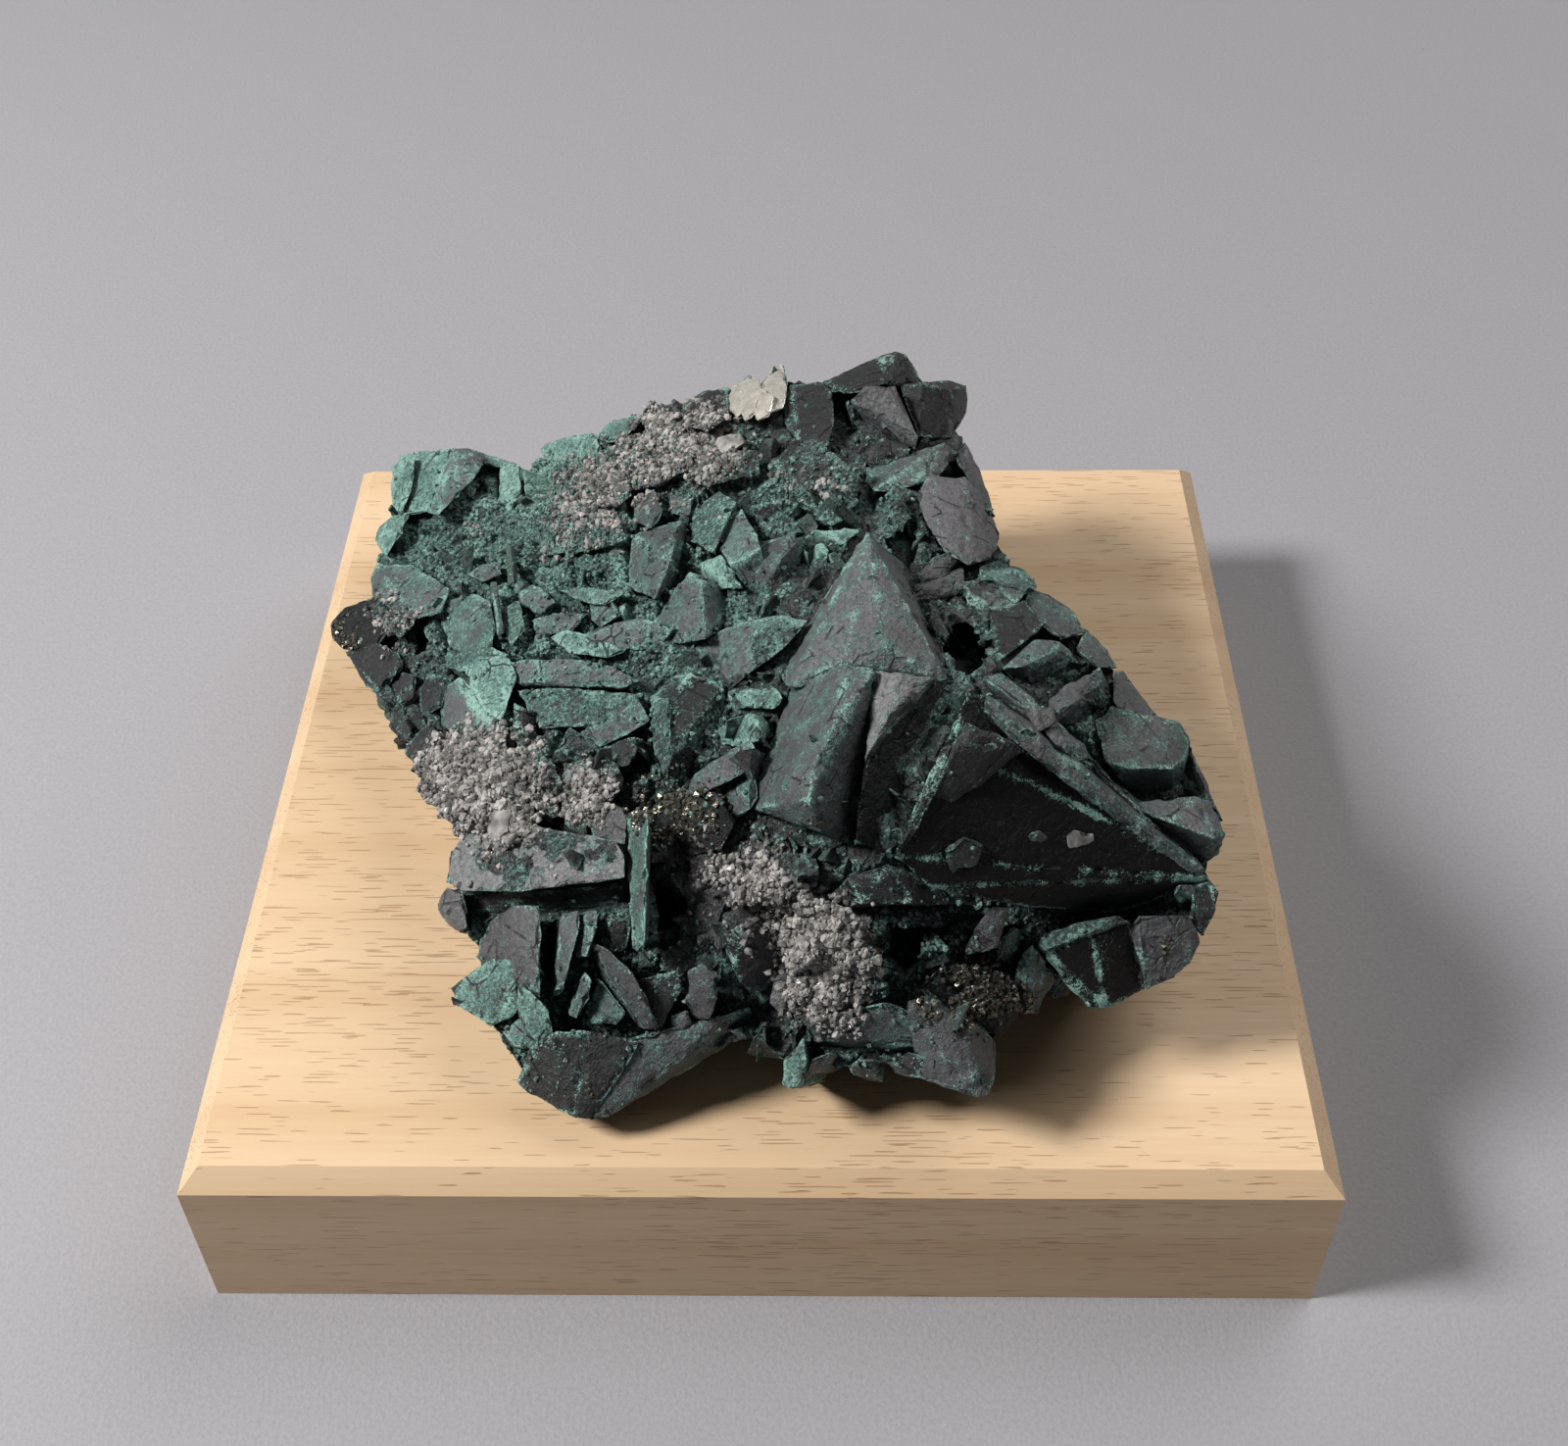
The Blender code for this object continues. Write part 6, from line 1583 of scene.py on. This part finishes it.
    def mix(self, share: object, first: object, second: object) -> Socket:
        """Mix two colours.

        Args:
            share: Share of the second one.
            first: Colour or socket.
            second: Colour or socket.

        Returns:
            The colour's socket.
        """
        node = self.tree.nodes.new("ShaderNodeMix")
        node.data_type = "RGBA"
        self.put(node.inputs[0], share)
        self.put(node.inputs[6], first)
        self.put(node.inputs[7], second)
        return node.outputs[2]

    def bump(self, height: Socket, depth: float, before: Socket | None = None) -> Socket:
        """Return a surface direction bent by a height.

        Args:
            height: The height, about 0 to 1.
            depth: Real depth of the relief in mm.
            before: A direction that is bent already.

        Returns:
            The direction's socket.
        """
        node = self.tree.nodes.new("ShaderNodeBump")
        node.inputs["Strength"].default_value = 1.0
        node.inputs["Distance"].default_value = depth * MM
        self.put(node.inputs["Height"], height)
        if before is not None:
            self.put(node.inputs["Normal"], before)
        return node.outputs[0]


@dataclass(frozen=True)
class TennantiteFinish:
    """Dull grey-lilac crystal faces under a granular crust of green copper salts."""

    bare: tuple[float, float, float] = (0.050, 0.055, 0.061)
    bare_light: tuple[float, float, float] = (0.108, 0.108, 0.122)
    dark: tuple[float, float, float] = (0.007, 0.0075, 0.0085)
    # painted highlight colour, used only by the lit finish
    painted_highlight_grey: tuple[float, float, float] = (0.30, 0.31, 0.33)
    green: tuple[float, float, float] = (0.022, 0.050, 0.045)
    green_mid: tuple[float, float, float] = (0.078, 0.182, 0.166)
    green_light: tuple[float, float, float] = (0.300, 0.520, 0.465)
    white: tuple[float, float, float] = (0.33, 0.315, 0.31)

    def build(self) -> bpy.types.Material:
        """Return the material."""
        graph = Graph("tennantite_crusted")
        coat = graph.math("MINIMUM", graph.layer("coat"), 0.92)
        shade = graph.layer("shade")
        rim = graph.layer("rim")
        grit = graph.layer("grit")
        patches = graph.ripple(2.0, 4.0, 0.6)
        speckle = graph.ripple(0.30, 3.0, 0.7)
        dust = graph.ripple(0.12, 2.0, 0.6)
        clouds = graph.ripple(6.0, 3.0)
        pits = graph.span(graph.noise(0.42, 3.0, 0.65), 0.50, 0.62)
        cracks = self.cracks(graph)
        body = self.body(graph, clouds, speckle)
        load = graph.sum_of((coat, 1.0), (rim, 0.26), (shade, 0.06), (patches, 1.4), (speckle, 1.6),
                            (dust, 1.5))
        crust = graph.span(load, 0.40, 0.62)
        bright = graph.sum_of((rim, 0.50), (patches, 1.1), (coat, 0.68), (speckle, 2.2), (dust, 1.4),
                              (clouds, 0.8))
        salts = graph.mix(graph.span(bright, -0.05, 0.42), self.green, self.green_mid)
        salts = graph.mix(graph.span(bright, 0.45, 1.05), salts, self.green_light)
        colour = graph.mix(crust, body, salts)
        powder = graph.sum_of((graph.layer("white"), 0.8), (speckle, 1.8), (patches, 1.2))
        colour = graph.mix(graph.span(powder, 0.42, 0.78), colour, self.white)
        # painted shade: the small pits, which the bump also sinks, go near black
        painted_pit_shade = graph.math("MULTIPLY", pits, graph.span(grit, 0.0, 1.0, 0.12, 0.85))
        colour = graph.mix(painted_pit_shade, colour, self.dark)
        colour = graph.mix(graph.math("MULTIPLY", cracks, 0.85), colour, (0.006, 0.007, 0.008))
        colour = graph.mix(graph.span(shade, 0.50, 1.0, 0.0, 0.75), colour, (0.008, 0.010, 0.009))
        graph.set("Base Color", colour)
        graph.set("Roughness", graph.span(crust, 0.0, 1.0, 0.50, 0.88))
        graph.set("Specular IOR Level", graph.span(graph.layer("kind"), 0.3, 1.0, 0.5, 0.12))
        graph.set("IOR", 1.6)
        fine = graph.sum_of((speckle, 1.0), (dust, 0.8), (pits, -0.7))
        fine = graph.math("MULTIPLY", fine, graph.span(graph.math("ADD", load, grit), 0.2, 1.3, 0.22, 1.0))
        fine = graph.math("SUBTRACT", fine, graph.math("MULTIPLY", cracks, 0.6))
        bent = graph.bump(fine, 0.30)
        graph.set("Normal", graph.bump(patches, 0.5, bent))
        return graph.material

    def body(self, graph: Graph, clouds: Socket, speckle: Socket) -> Socket:
        """Return the colour of the clean crystal faces, with painted shade and painted highlight set by the
        finish.

        Args:
            graph: The material's nodes.
            clouds: Broad noise.
            speckle: Fine noise.

        Returns:
            The colour's socket.
        """
        kind = graph.layer("kind")
        body = graph.mix(graph.span(graph.math("ADD", graph.layer("tone"), clouds), 0.25, 0.85), self.bare,
                         self.bare_light)
        # painted shade for the dark and black finishes, partly their real colour; rock and crust grains
        # darken here by their own tone
        body = graph.mix(graph.math("MAXIMUM", kind, 0.0), body, self.dark)
        # painted highlight: the lit finish goes towards a pale grey
        body = graph.mix(graph.math("MAXIMUM", graph.math("MULTIPLY", kind, -1.0), 0.0), body, self.painted_highlight_grey)
        return graph.mix(graph.span(speckle, -0.10, 0.2, 0.0, 0.40), body, self.dark)

    @staticmethod
    def cracks(graph: Graph) -> Socket:
        """Return fine cracks: 1 in a crack and 0 beside it.

        Args:
            graph: The material's nodes.

        Returns:
            The socket.
        """
        lines = graph.span(graph.cells(3.6, "DISTANCE_TO_EDGE"), 0.012, 0.030, 1.0, 0.0)
        where = graph.span(graph.noise(3.0, 2.0), 0.52, 0.60)
        clean = graph.span(graph.layer("grit"), 0.1, 0.4, 1.0, 0.0)
        return graph.math("MULTIPLY", graph.math("MULTIPLY", lines, where), clean)


@dataclass(frozen=True)
class DruseFinish:
    """White to grey sugar-like quartz grains."""

    white: tuple[float, float, float] = (0.40, 0.39, 0.38)
    grey: tuple[float, float, float] = (0.085, 0.084, 0.083)

    def build(self) -> bpy.types.Material:
        """Return the material."""
        graph = Graph("drusy_quartz")
        patches = graph.noise(1.6, 3.0)
        share = graph.sum_of((patches, 0.9), (graph.layer("tone"), 0.35))
        colour = graph.mix(graph.span(share, 0.44, 0.86), self.grey, self.white)
        graph.set("Base Color", colour)
        graph.set("Roughness", graph.span(graph.layer("tone"), 0.95, 0.99, 0.75, 0.10))
        graph.set("IOR", 1.54)
        graph.set("Normal", graph.bump(graph.noise(0.2, 2.0), 0.04))
        return graph.material


@dataclass(frozen=True)
class MottledFinish:
    """A finish mottled in two colours, with a fine relief. Sizes in mm."""

    name: str
    cloud: tuple[float, float]
    span: tuple[float, float]
    first: tuple[float, float, float]
    second: tuple[float, float, float]
    relief: float
    depth: float
    inputs: dict[str, float]

    def build(self) -> bpy.types.Material:
        """Return the material."""
        graph = Graph(self.name)
        mottle = graph.span(graph.noise(*self.cloud), *self.span)
        graph.set("Base Color", graph.mix(mottle, self.first, self.second))
        for name, value in self.inputs.items():
            graph.set(name, value)
        graph.set("Normal", graph.bump(graph.noise(self.relief, 2.0), self.depth))
        return graph.material


# Cloudy see-through cream quartz, dark sulphide grains with a metal's glitter, and the pale grey table
QUARTZ_FINISH = MottledFinish(
    "cloudy_quartz", (1.2, 3.0), (0.3, 0.7), (0.96, 0.94, 0.90), (0.78, 0.74, 0.66), 0.5, 0.06,
    {"Roughness": 0.22, "IOR": 1.54, "Transmission Weight": 0.62})
SULPHIDE_FINISH = MottledFinish(
    "sulphide_grains", (0.9, 2.0), (0.35, 0.65), (0.20, 0.19, 0.16), (0.06, 0.065, 0.06), 0.25, 0.05,
    {"Metallic": 0.7, "Roughness": 0.30})
FLOOR_FINISH = MottledFinish(
    "pale_floor", (0.45, 2.0), (0.3, 0.75), (0.310, 0.312, 0.345), (0.282, 0.284, 0.314), 0.45, 0.06,
    {"Roughness": 0.7})


@dataclass(frozen=True)
class WoodFinish:
    """Pale oiled hardwood, grain along X, with short brown pores."""

    pale: tuple[float, float, float] = (0.665, 0.495, 0.325)
    warm: tuple[float, float, float] = (0.560, 0.385, 0.225)
    pore: tuple[float, float, float] = (0.34, 0.185, 0.085)
    grain_turn: float = math.radians(6.0)

    def build(self) -> bpy.types.Material:
        """Return the material."""
        graph = Graph("pale_hardwood")
        along = graph.stretched((0.035, 1.0, 1.0), self.grain_turn)
        broad = graph.noise(9.0, 3.0, 0.5, along)
        fibre = graph.noise(0.45, 3.0, 0.6, along)
        rings = graph.noise(3.2, 2.0, 0.5, graph.stretched((0.02, 1.0, 1.0), self.grain_turn))
        share = graph.sum_of((broad, 0.7), (rings, 0.3))
        share = graph.math("ADD", share, graph.math("MULTIPLY", graph.math("SUBTRACT", fibre, 0.5), 0.25))
        colour = graph.mix(graph.span(share, 0.30, 0.80), self.pale, self.warm)
        dashes = graph.noise(0.17, 0.0, 0.5, graph.stretched((0.045, 1.0, 1.0), self.grain_turn))
        spread = graph.noise(14.0, 2.0, 0.5, graph.stretched((0.6, 1.0, 1.0), 0.0))
        dashes = graph.math("ADD", dashes, graph.math("MULTIPLY", graph.math("SUBTRACT", spread, 0.5), 0.25))
        pores = graph.span(dashes, 0.715, 0.77)
        colour = graph.mix(graph.math("MULTIPLY", pores, 0.62), colour, self.pore)
        graph.set("Base Color", colour)
        graph.set("Roughness", graph.span(fibre, 0.3, 0.7, 0.46, 0.62))
        graph.set("IOR", 1.48)
        height = graph.math("SUBTRACT", graph.math("MULTIPLY", fibre, 0.4), pores)
        graph.set("Normal", graph.bump(height, 0.05))
        return graph.material


@dataclass
class Finishes:
    """Every material of the scene."""

    tennantite: bpy.types.Material = field(default_factory=TennantiteFinish().build)
    druse: bpy.types.Material = field(default_factory=DruseFinish().build)
    quartz: bpy.types.Material = field(default_factory=QUARTZ_FINISH.build)
    sulphide: bpy.types.Material = field(default_factory=SULPHIDE_FINISH.build)
    wood: bpy.types.Material = field(default_factory=WoodFinish().build)
    floor: bpy.types.Material = field(default_factory=FLOOR_FINISH.build)


@dataclass
class ClearCrystals:
    """Quartz crystals of one kind that stand among the dark ones."""

    name: str
    kind: Finish
    first_tone: int = 200

    def build(self, rock: Rock, material: bpy.types.Material) -> bpy.types.Object:
        """Build every crystal of this kind in all groups.

        Args:
            rock: The model's surface.
            material: Their finish.

        Returns:
            The piece.
        """
        skin = Skin(self.name)
        crystals = [Crystal(*row) for rows in GROUPS.values() for row in rows]
        for count, crystal in enumerate(one for one in crystals if one.finish is self.kind):
            skin.add(crystal.build(rock, self.first_tone + count))
        return skin.finish(material)


@dataclass
class Grains:
    """Small grains strewn over the surface where the picture shows them, as one piece."""

    name: str
    patches: list[Patch]
    count: int
    smallest: float
    largest: float
    seed: int
    threshold: float = 0.45
    lift: float = 0.1
    cubes: bool = False
    crust: bool = False
    shapes: int = 8
    tries_each: int = 12
    spread: float = 0.62
    foot_room: float = 1.0
    stray_share: float = 0.12
    smallness: float = 2.2

    def template(self, rng: random.Random) -> tuple[np.ndarray, np.ndarray]:
        """Return the corners and faces of one rough grain.

        Args:
            rng: Source of the grain's shape.

        Returns:
            Corners, one a row, and triangles, one a row.
        """
        bm = bmesh.new()
        if self.cubes:
            bmesh.ops.create_cube(bm, size=0.8)
        else:
            bmesh.ops.create_icosphere(bm, subdivisions=1, radius=0.5)
        for vert in bm.verts:
            vert.co = Vector([number * rng.uniform(0.6, 1.35) for number in vert.co])
        bmesh.ops.triangulate(bm, faces=bm.faces)
        corners = np.array([vert.co for vert in bm.verts])
        faces = np.array([[vert.index for vert in face.verts] for face in bm.faces])
        bm.free()
        return corners, faces

    def build(self, rock: Rock, material: bpy.types.Material) -> bpy.types.Object:
        """Strew the grains and join them in one mesh.

        Args:
            rock: The model's surface.
            material: Their finish.

        Returns:
            The piece.
        """
        rng = random.Random(self.seed)
        shapes = [self.template(rng) for _ in range(self.shapes)]
        weights = [max(0.0, patch.strength) * patch.radius ** 2 for patch in self.patches]
        corners, faces, tones, base, made, tries = [], [], [], 0, 0, 0
        while made < self.count and tries < self.count * self.tries_each:
            tries += 1
            patch = rng.choices(self.patches, weights)[0]
            u = rng.gauss(patch.u, patch.radius * self.spread)
            v = rng.gauss(patch.v, patch.radius * self.spread)
            spot, normal = rock.visible(u, v)
            if spot is None or spot.z < UNDERSIDE_HEIGHT + self.foot_room:
                continue
            value = patch_value(self.patches, u, v)
            value += noise.noise(spot * 0.55) * 0.75 + noise.noise(spot * 1.7) * 0.4
            if value < self.threshold + rng.uniform(0, 0.25):
                continue
            if touches(rock.clean, spot, ON_GRAIN):
                continue
            if self.crust and touches(rock.large, spot, ON_CRUST) and rng.random() > self.stray_share:
                continue
            size = self.smallest + (self.largest - self.smallest) * rng.random() ** self.smallness
            shape, triangles = shapes[made % len(shapes)]
            spin = Matrix.Rotation(rng.uniform(0, FULL_TURN), 3, "Z")
            turn = np.array(spin @ Matrix.Rotation(rng.uniform(0, HALF_TURN), 3, "X"))
            place = spot + normal * size * self.lift
            corners.append(shape @ turn.T * size + np.array(place))
            faces.append(triangles + base)
            base += len(shape)
            tones.extend([rng.random()] * len(shape))
            made += 1
        mesh = bpy.data.meshes.new(self.name)
        places = np.concatenate(corners)
        places[:, 2] = np.maximum(places[:, 2], UNDERSIDE_HEIGHT)
        mesh.from_pydata((places * MM).tolist(), [], np.concatenate(faces).tolist())
        mesh.attributes.new("tone", "FLOAT", "POINT").data.foreach_set("value", tones)
        if self.crust:
            values = np.array(tones)
            for layer, number in (("coat", 0.25 + 0.7 * values), ("rim", (values * 7.0) % 0.8),
                                  ("grit", values * 0.6), ("kind", values * 0.4)):
                mesh.attributes.new(layer, "FLOAT", "POINT").data.foreach_set("value", number)
        return grown_piece(self.name, mesh, material)


CRUST_PATCHES = patches_of(
    (450, 500, 80, 0.9), (560, 600, 130, 1.0), (700, 560, 110, 0.8), (680, 720, 110, 0.8),
    (500, 720, 80, 0.8), (840, 470, 80, 0.7), (960, 600, 90, 0.5), (1110, 720, 90, 0.7),
    (620, 1000, 110, 0.8), (760, 800, 90, 0.7), (960, 960, 110, 0.6), (880, 1070, 90, 0.7),
    (1060, 880, 110, 0.5), (400, 620, 60, 0.8), (540, 1080, 60, 0.8), (640, 450, 80, 0.8),
)
SULPHIDE_PATCHES = patches_of(
    (985, 1010, 46, 0.9), (1030, 1018, 26, 0.7), (700, 835, 46, 0.8), (655, 815, 26, 0.5),
    (355, 645, 24, 0.8), (430, 640, 26, 0.35), (830, 845, 26, 0.3), (1190, 985, 24, 0.4),
    (600, 1110, 20, 0.4),
)


@dataclass(frozen=True)
class Lamp:
    """A round lamp that shines on the specimen. Lengths in metres, power in watts."""

    name: str
    direction: tuple[float, float, float]
    distance: float
    size: float
    power: float
    colour: tuple[float, float, float]
    aim: tuple[float, float, float] = (0, 0, 0.03)

    def make(self) -> None:
        """Put the lamp in the scene."""
        data = bpy.data.lights.new(self.name, "AREA")
        data.shape = "DISK"
        data.size = self.size
        data.energy = self.power
        data.color = self.colour
        obj = link(self.name, data)
        away = Vector(self.direction).normalized()
        obj.location = Vector(self.aim) + away * self.distance
        obj.rotation_mode = "QUATERNION"
        obj.rotation_quaternion = away.to_track_quat("Z", "Y")


KEY_LAMP = Lamp("key_lamp", (-0.700, -0.155, 0.697), 0.70, 0.187, 7.1, (1.0, 0.965, 0.92))
FILL_LAMP = Lamp("fill_lamp", (0.50, 0.45, 0.75), 1.5, 1.4, 14.5, (1.0, 0.955, 0.905))


@dataclass
class Studio:
    """The plain floor, the lamps, the soft light of the room and the camera."""

    floor_size: float = 3.0
    sky: tuple[float, float, float] = (0.63, 0.61, 0.60)
    sky_strength: float = 0.085

    def build(self, finishes: Finishes) -> None:
        """Make the floor, the lamps, the room's light and the camera.

        Args:
            finishes: The materials.
        """
        bm = bmesh.new()
        bmesh.ops.create_grid(bm, x_segments=1, y_segments=1, size=self.floor_size)
        mesh = bpy.data.meshes.new("floor")
        bm.to_mesh(mesh)
        bm.free()
        mesh.materials.append(finishes.floor)
        link("floor", mesh)
        for lamp in (KEY_LAMP, FILL_LAMP):
            lamp.make()
        world = bpy.data.worlds.new("room")
        world.use_nodes = True
        backdrop = world.node_tree.nodes["Background"]
        backdrop.inputs["Color"].default_value = (*self.sky, 1)
        backdrop.inputs["Strength"].default_value = self.sky_strength
        bpy.context.scene.world = world
        bpy.context.scene.view_settings.view_transform = "Standard"
        CAMERA.make()


@dataclass
class Stand:
    """The wooden block, which keeps the model's own mesh."""

    name: str = STAND

    def dress(self, frame: dict, finishes: Finishes) -> bpy.types.Object:
        """Give the block its wood.

        Args:
            frame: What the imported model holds.
            finishes: The materials.

        Returns:
            The block.
        """
        block = frame["nodes"][self.name]
        for slot in block.material_slots:
            slot.material = finishes.wood
        return block


def main() -> None:
    """Build every piece in order and note the sizes."""
    logging.basicConfig(level=logging.INFO, format="%(message)s")
    noise.seed_set(NOISE_SEED)
    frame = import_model()
    finishes = Finishes()
    rock = Rock(frame["nodes"][CLUSTER])
    Stand().dress(frame, finishes)
    RockSkin().build(rock, finishes)
    first = 0
    for name, rows in GROUPS.items():
        CrystalGroup(name, rows, first).build(rock, finishes)
        first += len(rows)
    ClearCrystals("quartz_points", Finish.QUARTZ).build(rock, finishes.quartz)
    ClearCrystals("pale_grey_crystals", Finish.PALE).build(rock, finishes.druse)
    SmallCrystals("small_crystals", 170, 0.9, 3.4, 11).build(rock, finishes)
    Grains("crust_grains", CRUST_PATCHES, 5400, 0.20, 0.66, 9, threshold=0.35, crust=True).build(
        rock, finishes.tennantite)
    Grains("white_druse", WHITE_PATCHES, 7600, 0.24, 0.84, 5).build(rock, finishes.druse)
    Grains("druse_cubes", WHITE_PATCHES, 2300, 0.22, 0.55, 8, threshold=0.6, lift=0.3, cubes=True).build(
        rock, finishes.druse)
    Grains("sulphide_glitter", SULPHIDE_PATCHES, 2300, 0.16, 0.5, 6, cubes=True).build(
        rock, finishes.sulphide)
    Studio().build(finishes)


if __name__ == "__main__":
    main()
